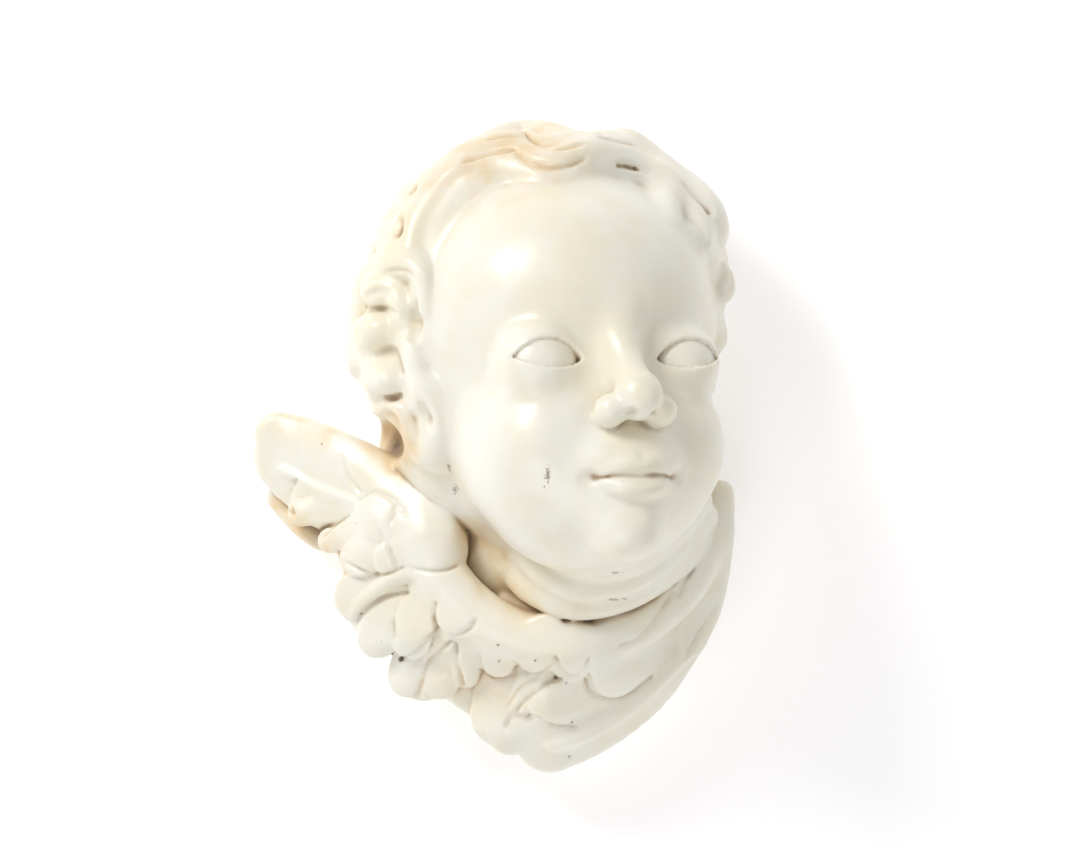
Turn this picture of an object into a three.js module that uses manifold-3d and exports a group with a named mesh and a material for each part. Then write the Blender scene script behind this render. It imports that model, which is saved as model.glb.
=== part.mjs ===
// Carved marble putto head with a pair of wings folded round its neck, made to hang flat on a wall.
// Millimetres, +Z up. The flat back lies in the plane y = 0 and the face looks towards -Y.
// The form is worked like clay: round shapes are joined and cut with soft edges as one solid,
// its skin is taken off a grid, thinned to few triangles and sawn flat at the back.

import * as THREE from 'three';
import { mergeVertices } from 'three/addons/utils/BufferGeometryUtils.js';
import Module from 'manifold-3d';

const wasm = await Module();
wasm.setup();

// Driving sizes
const GRID_CELL = 2.0;
const TRIANGLE_COUNT = 9500;
const BLOCK_LOW = [-112, -136, -132];
const BLOCK_HIGH = [80, 8, 122];
const WALL_OVERLAP = 3;

const HEAD_ORIGIN = [3.5, -45, 11];
const HEAD_TURN = THREE.MathUtils.degToRad(22);
const HEAD_TIP = THREE.MathUtils.degToRad(13);
const HEAD_SCALE = 1.05;
const SKULL_CENTRE = [0, 6, 22];
const SKULL_RADII = [57.5, 68, 67];
const HAIR_RADII = [62.5, 73, 72];

const EYE_X = 25;
const EYE_Y = -53;
const EYEBALL_RADIUS = 12.6;
const LID_RADIUS = 14.2;
const EYE_HALF_WIDTH = 11.8;
const EYE_OPEN_UP = 6.2;
const EYE_OPEN_DOWN = 4.2;
const EYE_SLANT = 0.05;

// The feathers' sides lean in behind a rim of this height, at this slope.
const FEATHER_RIM = 8;
const UNDERCUT = 0.24;

const MARBLE = { color: 0xe9e4d4, roughness: 0.35, metalness: 0 };

// Soft joins between signed distances
function softMin(a, b, blend) {
  if (blend <= 0) {
    return Math.min(a, b);
  }
  const h = Math.max(blend - Math.abs(a - b), 0) / blend;
  return Math.min(a, b) - h * h * blend * 0.25;
}

function softMax(a, b, blend) {
  return -softMin(-a, -b, blend);
}

// A block of clay is a grid of signed distances, negative inside.
class Clay {
  constructor(low, high, cell) {
    this.low = low;
    this.cell = cell;
    this.size = low.map((v, i) => Math.ceil((high[i] - v) / cell) + 1);
    const [nx, ny, nz] = this.size;
    this.field = new Float32Array(nx * ny * nz).fill(1000);
  }

  index(i, j, k) {
    return (i * this.size[1] + j) * this.size[2] + k;
  }

  change(shape, blend, join) {
    const margin = blend + 2 * this.cell;
    const first = this.low.map((v, i) =>
      Math.max(0, Math.ceil((shape.low[i] - margin - v) / this.cell)));
    const last = this.low.map((v, i) =>
      Math.min(this.size[i] - 1, Math.floor((shape.high[i] + margin - v) / this.cell)));
    for (let i = first[0]; i <= last[0]; i += 1) {
      const x = this.low[0] + i * this.cell;
      for (let j = first[1]; j <= last[1]; j += 1) {
        const y = this.low[1] + j * this.cell;
        for (let k = first[2]; k <= last[2]; k += 1) {
          const z = this.low[2] + k * this.cell;
          const n = this.index(i, j, k);
          this.field[n] = join(this.field[n], shape.distance(x, y, z), blend);
        }
      }
    }
  }

  // The distance at a point between the grid's corners.
  valueAt(x, y, z) {
    const at = [x, y, z].map((v, axis) => (v - this.low[axis]) / this.cell);
    const base = at.map((v, axis) => Math.min(Math.max(Math.floor(v), 0), this.size[axis] - 2));
    let sum = 0;
    for (let corner = 0; corner < 8; corner += 1) {
      const step = [corner & 1, (corner >> 1) & 1, (corner >> 2) & 1];
      const shares = step.map((far, axis) => (far ? at[axis] - base[axis] : 1 - at[axis] + base[axis]));
      const [i, j, k] = base.map((v, axis) => v + step[axis]);
      sum += shares[0] * shares[1] * shares[2] * this.field[this.index(i, j, k)];
    }
    return sum;
  }

  // The y of the front surface over (x, z), or 0 where there is no clay.
  frontAt(x, z) {
    let outer = this.valueAt(x, this.low[1], z);
    for (let y = this.low[1] + this.cell; y < 0; y += this.cell) {
      const inner = this.valueAt(x, y, z);
      if (inner < 0) {
        return y - this.cell * inner / (inner - outer);
      }
      outer = inner;
    }
    return 0;
  }

  add(shape, blend) {
    this.change(shape, blend, softMin);
  }

  cut(shape, blend) {
    this.change(shape, blend, (a, b, k) => softMax(a, -b, k));
  }

  join(other, blend) {
    for (let n = 0; n < this.field.length; n += 1) {
      this.field[n] = softMin(this.field[n], other.field[n], blend);
    }
  }
}

// Shapes: each has its lowest and highest corner and a distance function.
function egg(centre, radii) {
  return {
    low: centre.map((c, i) => c - radii[i]),
    high: centre.map((c, i) => c + radii[i]),
    distance(x, y, z) {
      const u = (x - centre[0]) / radii[0];
      const v = (y - centre[1]) / radii[1];
      const w = (z - centre[2]) / radii[2];
      const size = Math.hypot(u, v, w);
      const slope = Math.hypot(u / radii[0], v / radii[1], w / radii[2]) + 1e-6;
      return size * (size - 1) / slope;
    },
  };
}

function ball(centre, radius) {
  return egg(centre, [radius, radius, radius]);
}

// Rows of a smooth curve through the given rows of numbers, the last number being a radius.
function smoothRows(rows, steps) {
  const out = [];
  for (let i = 0; i < rows.length - 1; i += 1) {
    const before = rows[Math.max(i - 1, 0)];
    const start = rows[i];
    const end = rows[i + 1];
    const after = rows[Math.min(i + 2, rows.length - 1)];
    for (let s = 0; s < steps; s += 1) {
      const t = s / steps;
      out.push(start.map((q, n) => {
        const p = before[n];
        const r = end[n];
        const u = after[n];
        return 0.5 * (2 * q + (r - p) * t + (2 * p - 5 * q + 4 * r - u) * t * t
          + (3 * q - p - 3 * r + u) * t ** 3);
      }));
    }
  }
  out.push(rows[rows.length - 1]);
  return out;
}

// A round rope of changing thickness along a smooth curve.
function rope(points, radii, steps = 4) {
  const rows = smoothRows(points.map((p, i) => [...p, radii[i]]), steps);
  return {
    low: [0, 1, 2].map((i) => Math.min(...rows.map((r) => r[i] - r[3]))),
    high: [0, 1, 2].map((i) => Math.max(...rows.map((r) => r[i] + r[3]))),
    distance(x, y, z) {
      let best = Infinity;
      for (let n = 0; n < rows.length - 1; n += 1) {
        const a = rows[n];
        const b = rows[n + 1];
        const ex = b[0] - a[0];
        const ey = b[1] - a[1];
        const ez = b[2] - a[2];
        const length2 = ex * ex + ey * ey + ez * ez + 1e-9;
        let t = ((x - a[0]) * ex + (y - a[1]) * ey + (z - a[2]) * ez) / length2;
        t = Math.min(Math.max(t, 0), 1);
        const dx = x - a[0] - ex * t;
        const dy = y - a[1] - ey * t;
        const dz = z - a[2] - ez * t;
        const gap = Math.sqrt(dx * dx + dy * dy + dz * dz) - a[3] - (b[3] - a[3]) * t;
        best = Math.min(best, gap);
      }
      return best;
    },
  };
}

// The head's own frame: x to its left, y to the back, z up, with z = 0 on the line of the eyes.
const cosTurn = Math.cos(HEAD_TURN);
const sinTurn = Math.sin(HEAD_TURN);
const cosTip = Math.cos(HEAD_TIP);
const sinTip = Math.sin(HEAD_TIP);

function outOfHead(p) {
  const [x, y, z] = p.map((v) => v * HEAD_SCALE);
  const back = y * cosTip + z * sinTip;
  const up = -y * sinTip + z * cosTip;
  return [x * cosTurn - back * sinTurn + HEAD_ORIGIN[0],
    x * sinTurn + back * cosTurn + HEAD_ORIGIN[1],
    up + HEAD_ORIGIN[2]];
}

function intoHead(x, y, z) {
  const dx = x - HEAD_ORIGIN[0];
  const dy = y - HEAD_ORIGIN[1];
  const dz = z - HEAD_ORIGIN[2];
  const back = -dx * sinTurn + dy * cosTurn;
  return [(dx * cosTurn + dy * sinTurn) / HEAD_SCALE,
    (back * cosTip - dz * sinTip) / HEAD_SCALE,
    (back * sinTip + dz * cosTip) / HEAD_SCALE];
}

function onHead(shape) {
  const corners = [];
  for (const x of [shape.low[0], shape.high[0]]) {
    for (const y of [shape.low[1], shape.high[1]]) {
      for (const z of [shape.low[2], shape.high[2]]) {
        corners.push(outOfHead([x, y, z]));
      }
    }
  }
  return {
    low: [0, 1, 2].map((i) => Math.min(...corners.map((c) => c[i]))),
    high: [0, 1, 2].map((i) => Math.max(...corners.map((c) => c[i]))),
    distance(x, y, z) {
      return shape.distance(...intoHead(x, y, z)) * HEAD_SCALE;
    },
  };
}

// The point over (x, z) that lies in front of the plain hair by lift, or beside its rim.
function scalp(x, z, lift) {
  const p = intoHead(x, 0, z);
  const q = intoHead(x, 1, z);
  let a = 0;
  let b = 0;
  let c = 0;
  for (let i = 0; i < 3; i += 1) {
    const start = (p[i] - SKULL_CENTRE[i]) / HAIR_RADII[i];
    const step = (q[i] - p[i]) / HAIR_RADII[i];
    a += step * step;
    b += start * step;
    c += start * start;
  }
  const root = b * b - a * (c - 1);
  const y = root > 0 ? (-b - Math.sqrt(root)) / a : -b / a;
  return [x, y - lift, z];
}

// The opening between two lids: the overlap of two wide circles, seen from the front.
function lidOpening(x0, slant) {
  const upRadius = (EYE_HALF_WIDTH ** 2 + EYE_OPEN_UP ** 2) / (2 * EYE_OPEN_UP);
  const downRadius = (EYE_HALF_WIDTH ** 2 + EYE_OPEN_DOWN ** 2) / (2 * EYE_OPEN_DOWN);
  return {
    low: [x0 - EYE_HALF_WIDTH, EYE_Y - LID_RADIUS - 4, -EYE_OPEN_DOWN - 2],
    high: [x0 + EYE_HALF_WIDTH, EYE_Y, EYE_OPEN_UP + 2],
    distance(x, y, z) {
      const dx = x - x0;
      const dz = z - slant * dx;
      const top = Math.hypot(dx, dz + upRadius - EYE_OPEN_UP) - upRadius;
      const bottom = Math.hypot(dx, dz - downRadius + EYE_OPEN_DOWN) - downRadius;
      return Math.max(top, bottom, y - EYE_Y);
    },
  };
}

function makeHead(clay) {
  const add = (shape, blend) => clay.add(onHead(shape), blend);
  const cut = (shape, blend) => clay.cut(onHead(shape), blend);
  const sides = [-1, 1];

  add(egg(SKULL_CENTRE, SKULL_RADII), 0);
  add(egg([0, -18, 28], [49, 52, 42]), 14);
  add(egg([0, -26, -22], [39.5, 40, 40]), 14);
  add(egg([0, -34, -42], [33, 32, 22]), 10);
  for (const s of sides) {
    add(egg([s * 23, -36, -25], [21, 27, 22]), 11);
  }
  // muzzle and chin
  add(egg([0, -59, -36], [18, 13.5, 12]), 7);
  add(ball([0, -56, -55.5], 12), 7);

  // eye hollows, then lids, balls and the crease over the upper lid
  for (const s of sides) {
    cut(egg([s * (EYE_X - 1), -79.5, 3], [16, 12, 9]), 11);
    cut(ball([s * 11.5, -78.5, 0], 4.5), 8);
  }
  for (const s of sides) {
    const x = s * EYE_X;
    add(ball([x, EYE_Y, 0], LID_RADIUS), 6);
    cut(lidOpening(x, s * EYE_SLANT), 0.8);
    add(ball([x, EYE_Y, 0], EYEBALL_RADIUS), 0.3);
    cut(rope([[x - s * 12, -66.5, 4.5], [x - s * 5, -69.5, 8.5], [x + s * 4, -69, 8.5],
      [x + s * 12, -62.5, 4]], [0.4, 0.8, 0.8, 0.4]), 2.4);
  }

  // nose
  add(rope([[0, -61, 18], [0, -64.5, 8], [0, -69, -4], [0, -74, -13]], [4.5, 5.2, 5.4, 6.4]), 8);
  add(ball([0, -76, -16.8], 7.6), 4.5);
  for (const s of sides) {
    add(egg([s * 8.8, -71, -20], [5.6, 6.5, 5.4]), 2.5);
  }
  for (const s of sides) {
    cut(egg([s * 4.4, -78.2, -23.6], [2.5, 3.4, 2.6]), 1.4);
    cut(rope([[s * 15.5, -69, -16], [s * 15.5, -68, -22]], [1.2, 1.2]), 3);
  }
  cut(rope([[0, -74.5, -27], [0, -75, -33.5]], [1.6, 1.8]), 2.5);

  // lips, the line between them, and the dip under the lower one
  add(rope([[-13, -64, -41.2], [-7.6, -68.8, -38.8], [-3, -71.2, -37.6], [0, -71.4, -38.4],
    [3, -71.2, -37.6], [7.6, -68.8, -38.8], [13, -64, -41.2]], [1.2, 2.4, 2.7, 2.5, 2.7, 2.4, 1.2],
  3), 2.8);
  add(rope([[-11, -64.5, -43], [-5.6, -68.6, -45.2], [0, -69.6, -46], [5.6, -68.6, -45.2],
    [11, -64.5, -43]], [1.4, 3.1, 3.5, 3.1, 1.4]), 2.8);
  cut(rope([[-14, -66, -41.6], [-7.6, -71.2, -41.6], [0, -73.6, -42.2], [7.6, -71.2, -41.6],
    [14, -66, -41.6]], [0.7, 1.1, 1.4, 1.1, 0.7]), 1.4);
  for (const s of sides) {
    cut(ball([s * 16.2, -66, -41.5], 2), 4);
  }
  cut(rope([[-8, -72.5, -51], [0, -74, -51.6], [8, -72.5, -51]], [1.6, 2, 1.6]), 4);
}

// Soft folds of the neck: points and radii.
const NECK_FOLDS = [
  [[[-12, -40, -46], [-3, -54, -54], [12, -62, -59], [30, -60, -56], [46, -48, -47], [58, -30, -38]],
    [5.5, 7.4, 8.2, 8.2, 8, 7]],
  [[[-8, -46, -42], [1, -62, -49], [15, -70, -53.5], [32, -67, -50.5], [47, -53, -41], [58, -34, -31]],
    [5, 6.6, 7.4, 7.4, 7.4, 7]],
  [[[-2, -54, -36], [7, -70, -43], [20, -77.5, -46.5], [34, -74, -43], [47, -58, -34], [56, -40, -25]],
    [5, 6.4, 7, 7, 7, 6.6]],
];

// Fills the seam between the lowest fold and the collar.
const NECK_SEAT = [[-12, -44, -62], [0, -50, -67], [15, -53.5, -68.5], [32, -50, -64.5], [47, -41, -55]];
const NECK_SEAT_RADII = [4, 5, 5.2, 5, 4];

function makeNeck(clay) {
  clay.add(egg([15, -22, -44], [40, 37, 34]), 6);
  clay.add(egg([-6, -4, -38], [46, 24, 34]), 4);
  clay.add(egg([-15, -24, -42], [19, 24, 25]), 6);
  clay.add(rope(NECK_SEAT, NECK_SEAT_RADII), 2);
  for (const [points, radii] of NECK_FOLDS) {
    clay.add(rope(points, radii), 2);
  }
}

// The plain hair is a shell round the skull, open at the face. Seen from the front the opening is
// a rounded box, and at the sides it ends along a line that slopes back below the temples.
const BARE_CENTRE = [13.5, 29];
const BARE_RADII = [54, 65];
const BARE_REACH = 55;
const BARE_DEPTH = -50;
const BARE_TEMPLE = 45;
const BARE_SLOPE = 0.8;
const BARE_BLEND = 9;

function plainHair() {
  const shell = onHead(egg(SKULL_CENTRE, HAIR_RADII));
  return {
    low: shell.low,
    high: shell.high,
    distance(x, y, z) {
      const across = Math.abs((x - BARE_CENTRE[0]) / BARE_RADII[0]);
      const up = Math.abs((z - BARE_CENTRE[1]) / BARE_RADII[1]);
      const rim = (Math.cbrt(across ** 3 + up ** 3) - 1) * BARE_REACH;
      const edge = BARE_DEPTH + Math.max(BARE_TEMPLE - z, 0) * BARE_SLOPE;
      return softMax(shell.distance(x, y, z), -Math.max(rim, y - edge), BARE_BLEND);
    },
  };
}

// The thicker hair and the smooth swelling over the far temple, and the mass under the curl there.
const HAIR_MASS = egg([20, -30, 60], [45, 34, 46]);
const TEMPLE_SWELLING = egg([55, -42, 70], [10.5, 13, 17]);
const CURL_MASS = egg([58, -30, 53], [8.5, 16, 9]);
const TEMPLE_CURL = { centre: [64, -41, 53], facing: [0.8, -0.6, 0], size: 5.2, radius: 4.2 };

// Locks over the forehead: points as [x, z, lift off the plain hair], and radii.
const LOCKS = [
  [[[-26, 98, 0], [-18, 103.4, 0], [-10.5, 107.4, 0], [-2, 108.6, 0], [5.5, 107, 0], [13, 104, -1]], [4,
    5.4, 6, 5.4, 5, 4]],
  [[[-26, 95, -1], [-15, 99.8, 0], [-7, 101.6, 1]], [5.5, 5.6, 4.4]],
  [[[-4.5, 106, -0.5], [-2.4, 103, 0.5], [3.6, 101.2, 1], [12, 102.3, 1], [21, 104.4, -1]], [3.6, 4.2,
    4.6, 4.6, 4]],
  [[[-7, 101, 0], [-3.6, 97.8, 0.6], [2.9, 95.8, 0.8], [9, 96, 0.8], [16, 98.6, 0.6], [24, 102, -1]],
    [3, 4, 4.4, 4.6, 4.6, 4]],
  [[[24, 103.4, -1], [28.6, 104.6, 0], [33.2, 104.2, 0], [37.6, 100, -1]], [3.6, 5.6, 5.6, 4.6]],
  [[[15, 100.5, -3], [24, 101, -2], [33, 99.6, -1], [39.4, 95.6, -1], [43, 90, -2]], [6, 8, 8.4, 7.4,
    5]],
];

// Low locks that fade into the forehead, and the soft fold in front of the ear.
const SOFT_LOCKS = [
  [[[-12, 96, -3.4], [-4, 92.8, -3.4], [4, 91.8, -3.4], [12, 93.4, -3.2], [20, 97, -2]], [3.4, 3.8, 4,
    4, 3.4]],
  [[[-13, 95.4, -9], [-24, 89.4, -10.5], [-32.4, 81.6, -11], [-39, 72.4, -11], [-43.4, 62, -10]], [11,
    13, 13, 13, 10]],
  [[[10, 98, -4], [20, 97.6, -4], [30, 95.6, -4], [38, 91, -4]], [6, 7.4, 7.4, 6]],
  [[[36, 97, -1], [41, 92.6, 0], [44, 87, 0.5], [45.4, 81, 0], [46, 75, -2]], [5, 5, 4.4, 3.6, 2]],
  [[[51.6, 84, -2], [53, 77, -2], [54, 69, -3]], [5, 5.4, 5]],
  [[[-39, 14, -3.4], [-37, 7, -3.2], [-36.6, -1, -3], [-37.8, -8, -2]], [2.8, 3, 3.2, 3.6]],
];

// Locks on the sides of the head, deeper from front to back than they are wide by this share.
const DEEP_SHARE = 2;
const DEEP_LOCKS = [
  [[[36, 99.5, -2], [45.1, 94.4, -2], [53, 88.6, -1], [59.4, 82.2, 0], [62.6, 76, 0], [63.2, 70, 0],
    [61.6, 65, 0]], [5.5, 6, 6, 5.8, 5.6, 4.6, 3.4]],
  [[[43, 92, -1], [50, 86, -1], [54.6, 79, -1], [57.4, 72, -1], [59, 65, -1]], [6.4, 7, 7, 6.4, 5]],
  [[[-27, 90, -1], [-37, 89.6, 0], [-44, 87, 0], [-49.2, 81.8, 0], [-52.4, 75.8, 0], [-53.6, 68.8, 0],
    [-54, 61, 0]], [5.4, 5.4, 5.4, 5.4, 5.2, 5, 5]],
  [[[-35, 88, 0], [-39, 82, 0.5], [-43, 75.4, 0.5], [-45.6, 66, 0.5]], [5, 4.8, 4.6, 4.6]],
  [[[-51, 79.4, 0], [-43, 81.4, 0]], [3.6, 3.8]],
  [[[-63.4, 40.5, -1], [-63.2, 46, 0], [-61, 53, 0.5], [-55, 58, 1], [-48, 59.6, 1], [-42.4, 56.6, 0],
    [-40.4, 50, -1], [-40.4, 43, -2]], [4.4, 5.4, 6.2, 6.8, 6.6, 5.6, 4.4, 3.4]],
  [[[-56, 52, -1], [-51.4, 49.4, 0], [-49.4, 44.6, 0], [-48.8, 39, -1.5]], [4.4, 5, 4.4, 2.6]],
  [[[-63, 40, -2], [-63.6, 34, -1.5], [-62, 27, -1.5], [-59.6, 20.5, -1.5], [-57.4, 14, -2], [-56.4, 7,
    -3]], [4, 3.8, 3.6, 3.6, 3.8, 3.6]],
  [[[-45.6, 31, -2], [-43.8, 24, -1.5], [-43, 16, -1.5], [-44, 9.6, -1.5]], [4, 4.6, 4.4, 3.4]],
  [[[-58.6, 5.6, -1.5], [-55.4, 9.2, -0.5], [-51.4, 9.6, 0], [-48, 6.6, 0], [-46.2, 1.6, 0], [-45.4, -4,
    0.5], [-43, -9, 0.5]], [2, 2.6, 2.8, 2.8, 2.8, 3, 3.2]],
];

// Round masses inside the curls: [x, z, lift] and radii.
const BULBS = [
  [[-53, 50.5, -5], [11, 12, 8.5]],
  [[-56.6, 36.4, -4], [8.8, 13, 7.2]],
  [[-59.6, 34, -4], [6.4, 11, 8.4]],
  [[-53.6, 18.6, -4], [7.2, 12, 6]],
  [[-57, 20, -5], [6.4, 11, 8.4]],
];

// Hollows between the locks: points as [x, z, height over the hair there], and radii.
const HOLES = [
  [[[52, 89, 0.6], [57, 83.6, 0.3], [61, 79.6, 0]], [0.8, 1.2, 1.8]],
  [[[-45.4, 86.2, 0], [-44.8, 85.6, -2]], [2.4, 1.8]],
  [[[-50, 75, 0], [-50.4, 71, 0]], [2.2, 2.6]],
  [[[-43.8, 45, 0], [-43.6, 39, -1.5], [-44.2, 33.6, 0]], [1.4, 3, 2]],
  [[[-61.4, 48.2, 0.4], [-57.6, 49.6, 0], [-53.6, 49.4, 0.2]], [0.8, 1.4, 0.8]],
  [[[-64.4, 41.6, 0.4], [-60.4, 43.6, 0], [-55.6, 43.6, 0], [-51.6, 41.6, 0]], [0.8, 1.1, 1.2, 1.2]],
  [[[-65.6, 37, 0.2], [-64.6, 33.6, 0.2]], [1, 1]],
  [[[-58.6, 27, 0.4], [-54.6, 28.6, 0], [-51, 27.2, -0.4], [-48.8, 22, 0]], [1, 2.2, 2.2, 1.3]],
  [[[-58, 12.6, 0.4], [-53.4, 11.8, 0], [-49.4, 13, 0.3]], [0.8, 1.3, 0.8]],
  [[[-41.4, 9, 0.2], [-40, 4.4, -0.4], [-39.2, 0.6, 0.2]], [1.4, 2.6, 1.6]],
];

// The plain ear on the far side, in the head's own frame: points and radii.
const FAR_EAR = [[55, -2, -16], [57.5, -7, -12], [56.5, -8, -5], [55.5, -6, 2], [57.5, -2, 8], [59.5, 4,
  8], [60.5, 8, 2], [59.5, 8, -6], [57, 4, -13]];
const FAR_EAR_RADII = [3.4, 3, 2.2, 2.2, 2.4, 2.6, 2.6, 2.4, 2.2];

// Plainer wavy locks run back to the wall all round the head, with curls between them.
const SIDE_LOCKS = 17;
const SIDE_FROM = -23.4;
const SIDE_TO = 188;
const SIDE_RADIUS = 6.2;
const SIDE_SINK = 3.6;
const SIDE_WAVE = 4.5;
const SIDE_TURN = 40;
const SIDE_MIDDLE = [-0.7, 32];
const SIDE_NEAR = 40;
const SIDE_STEP = 0.25;
const SIDE_CURL = { size: 6.4, radius: 4.4, sink: 3.2, near: -27, far: -38, low: -19 };
// Depths at which the locks begin: over the crown, at the far temple, and below it.
const SIDE_STARTS = { crown: -60, temple: -42, low: -27 };
const HAIR_RIM_Y = -36;

function cross(a, b) {
  return [a[1] * b[2] - a[2] * b[1], a[2] * b[0] - a[0] * b[2], a[0] * b[1] - a[1] * b[0]];
}

function unit(v) {
  const length = Math.hypot(...v);
  return v.map((c) => c / length);
}

// A lock that winds in to its tip, in a plane square to the way it faces.
function curl(centre, facing, size, radius, startDegrees, hand) {
  const turns = 1.2;
  const rise = 2.5;
  const front = unit(facing);
  const across = unit(cross(Math.abs(front[2]) < 0.9 ? [0, 0, 1] : [0, -1, 0], front));
  const up = cross(front, across);
  const points = [];
  const radii = [];
  const count = 13;
  for (let step = 0; step <= count; step += 1) {
    const share = step / count;
    const angle = THREE.MathUtils.degToRad(startDegrees + hand * 360 * turns * share);
    const reach = size * (1 - 0.8 * share);
    points.push(centre.map((c, i) =>
      c + reach * (Math.cos(angle) * across[i] + Math.sin(angle) * up[i]) + rise * share * front[i]));
    radii.push(radius * (0.7 + 0.3 * Math.sin(Math.PI * Math.min(1, 0.15 + share))));
  }
  return rope(points, radii, 1);
}

// A rope that is DEEP_SHARE times as deep from front to back as it is wide.
function deepRope(points, radii) {
  const thin = rope(points.map(([x, y, z]) => [x, y / DEEP_SHARE, z]), radii);
  return {
    low: [thin.low[0], thin.low[1] * DEEP_SHARE, thin.low[2]],
    high: [thin.high[0], thin.high[1] * DEEP_SHARE, thin.high[2]],
    distance(x, y, z) {
      return thin.distance(x, y / DEEP_SHARE, z);
    },
  };
}

// The point over (x, z) that lies in front of the hair there by lift, or beside its rim.
function lay(clay, [x, z, lift]) {
  return [x, Math.min(clay.frontAt(x, z), HAIR_RIM_Y) - lift, z];
}

// The point at depth y on the side of the head, that many degrees round from the viewer's right.
function sidePoint(clay, degrees, y, sink) {
  const ux = Math.cos(THREE.MathUtils.degToRad(degrees));
  const uz = Math.sin(THREE.MathUtils.degToRad(degrees));
  let reach = SIDE_NEAR;
  while (clay.valueAt(SIDE_MIDDLE[0] + ux * reach, y, SIDE_MIDDLE[1] + uz * reach) < 0) {
    reach += SIDE_STEP;
  }
  return [SIDE_MIDDLE[0] + ux * (reach - sink), y, SIDE_MIDDLE[1] + uz * (reach - sink)];
}

function sideLock(clay, degrees, number) {
  const count = 6;
  const { crown, temple, low } = SIDE_STARTS;
  const beside = degrees > 0 ? temple : low;
  const first = degrees > SIDE_TURN ? crown : beside;
  const points = [];
  for (let step = 0; step < count; step += 1) {
    const y = first + step * (4 - first) / (count - 1);
    const turn = degrees + SIDE_WAVE * Math.sin(step * 1.9 + number * 2.1);
    points.push(sidePoint(clay, turn, y, SIDE_SINK));
  }
  return rope(points, points.map((_, n) => (n ? SIDE_RADIUS : SIDE_RADIUS * 0.4)));
}

function sideCurl(clay, degrees, number) {
  const above = number % 2 ? SIDE_CURL.far : SIDE_CURL.near;
  const centre = sidePoint(clay, degrees, degrees > 0 ? above : SIDE_CURL.low, SIDE_CURL.sink);
  const angle = THREE.MathUtils.degToRad(degrees);
  return curl(centre, [Math.cos(angle), -0.15, Math.sin(angle)], SIDE_CURL.size, SIDE_CURL.radius,
    50 * number, 1 - 2 * (number % 2));
}

function makeHair(clay) {
  clay.add(plainHair(), 5);
  clay.add(HAIR_MASS, 5);
  clay.add(TEMPLE_SWELLING, 8);
  clay.add(CURL_MASS, 4);
  // every lock is laid on the plain hair before the first is joined to it
  const placed = [];
  const spacing = (SIDE_TO - SIDE_FROM) / (SIDE_LOCKS - 1);
  for (let number = 0; number < SIDE_LOCKS; number += 1) {
    placed.push([sideLock(clay, SIDE_FROM + spacing * number, number), 1.6]);
  }
  for (let number = 0; number < SIDE_LOCKS - 1; number += 1) {
    placed.push([sideCurl(clay, SIDE_FROM + spacing * (number + 0.5), number), 0.8]);
  }
  for (const [place, radii] of BULBS) {
    placed.push([egg(lay(clay, place), radii), 4]);
  }
  for (const [points, radii] of DEEP_LOCKS) {
    const path = points.map(([x, z, lift], n) =>
      lay(clay, [x, z, lift - (DEEP_SHARE - 1) * 0.8 * radii[n]]));
    placed.push([deepRope(path, radii), 1.6]);
  }
  const { centre, facing, size, radius } = TEMPLE_CURL;
  placed.push([curl(centre, facing, size, radius, 150, -1), 1.2]);
  for (const [points, radii] of LOCKS) {
    placed.push([rope(points.map((p) => scalp(...p)), radii), 2.2]);
  }
  for (const [points, radii] of SOFT_LOCKS) {
    placed.push([rope(points.map((p) => scalp(...p)), radii), 8]);
  }
  for (const [shape, blend] of placed) {
    clay.add(shape, blend);
  }
  clay.add(onHead(rope(FAR_EAR, FAR_EAR_RADII)), 1.5);
  // lobe below the near ear, and the rough hollow behind it
  clay.add(rope([[-41, -52, -6], [-35, -56, -13], [-30, -58, -20]], [5, 6.8, 5.8]), 2.5);
  clay.cut(egg([-75, -20, 2], [17, 60, 20]), 2);
  clay.add(egg([-49, -16, -2], [9, 14, 14]), 4);
  clay.cut(egg([-62, -52, -3.5], [15.5, 25, 9.5]), 2);
  const hollows = HOLES.map(([points, radii]) => rope(points.map((p) => lay(clay, p)), radii));
  for (const hollow of hollows) {
    clay.cut(hollow, 1.6);
  }
}

// How far the wings stand off the wall at named places, as [x, z, depth], blended between them.
const WING_DEPTHS = [
  [-98, 0, 24], [-97, -20, 25], [-75, -8, 36], [-80, -34, 33], [-60, -15, 47],
  [-55, -38, 50], [-40, -38, 58], [-62, -64, 38], [-48, -58, 50], [-42, -92, 35],
  [-28, -70, 55], [12, -72, 62], [0, -92, 50], [-18, -102, 33], [8, -102, 45],
  [0, -121, 24], [25, -86, 54], [36, -96, 43], [20, -108, 40], [50, -80, 44],
  [58, -52, 40], [66, -40, 30], [68, -20, 24], [44, -104, 12], [27, -117, 11],
  [70, -58, 16], [62, -82, 14],
];
const DEPTH_REACH = 11;

function wingDepth(x, z) {
  let total = 0;
  let weights = 0;
  for (const [px, pz, depth] of WING_DEPTHS) {
    const w = Math.exp(-((x - px) ** 2 + (z - pz) ** 2) / (2 * DEPTH_REACH ** 2)) + 1e-9;
    total += w * depth;
    weights += w;
  }
  return total / weights;
}

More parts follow.
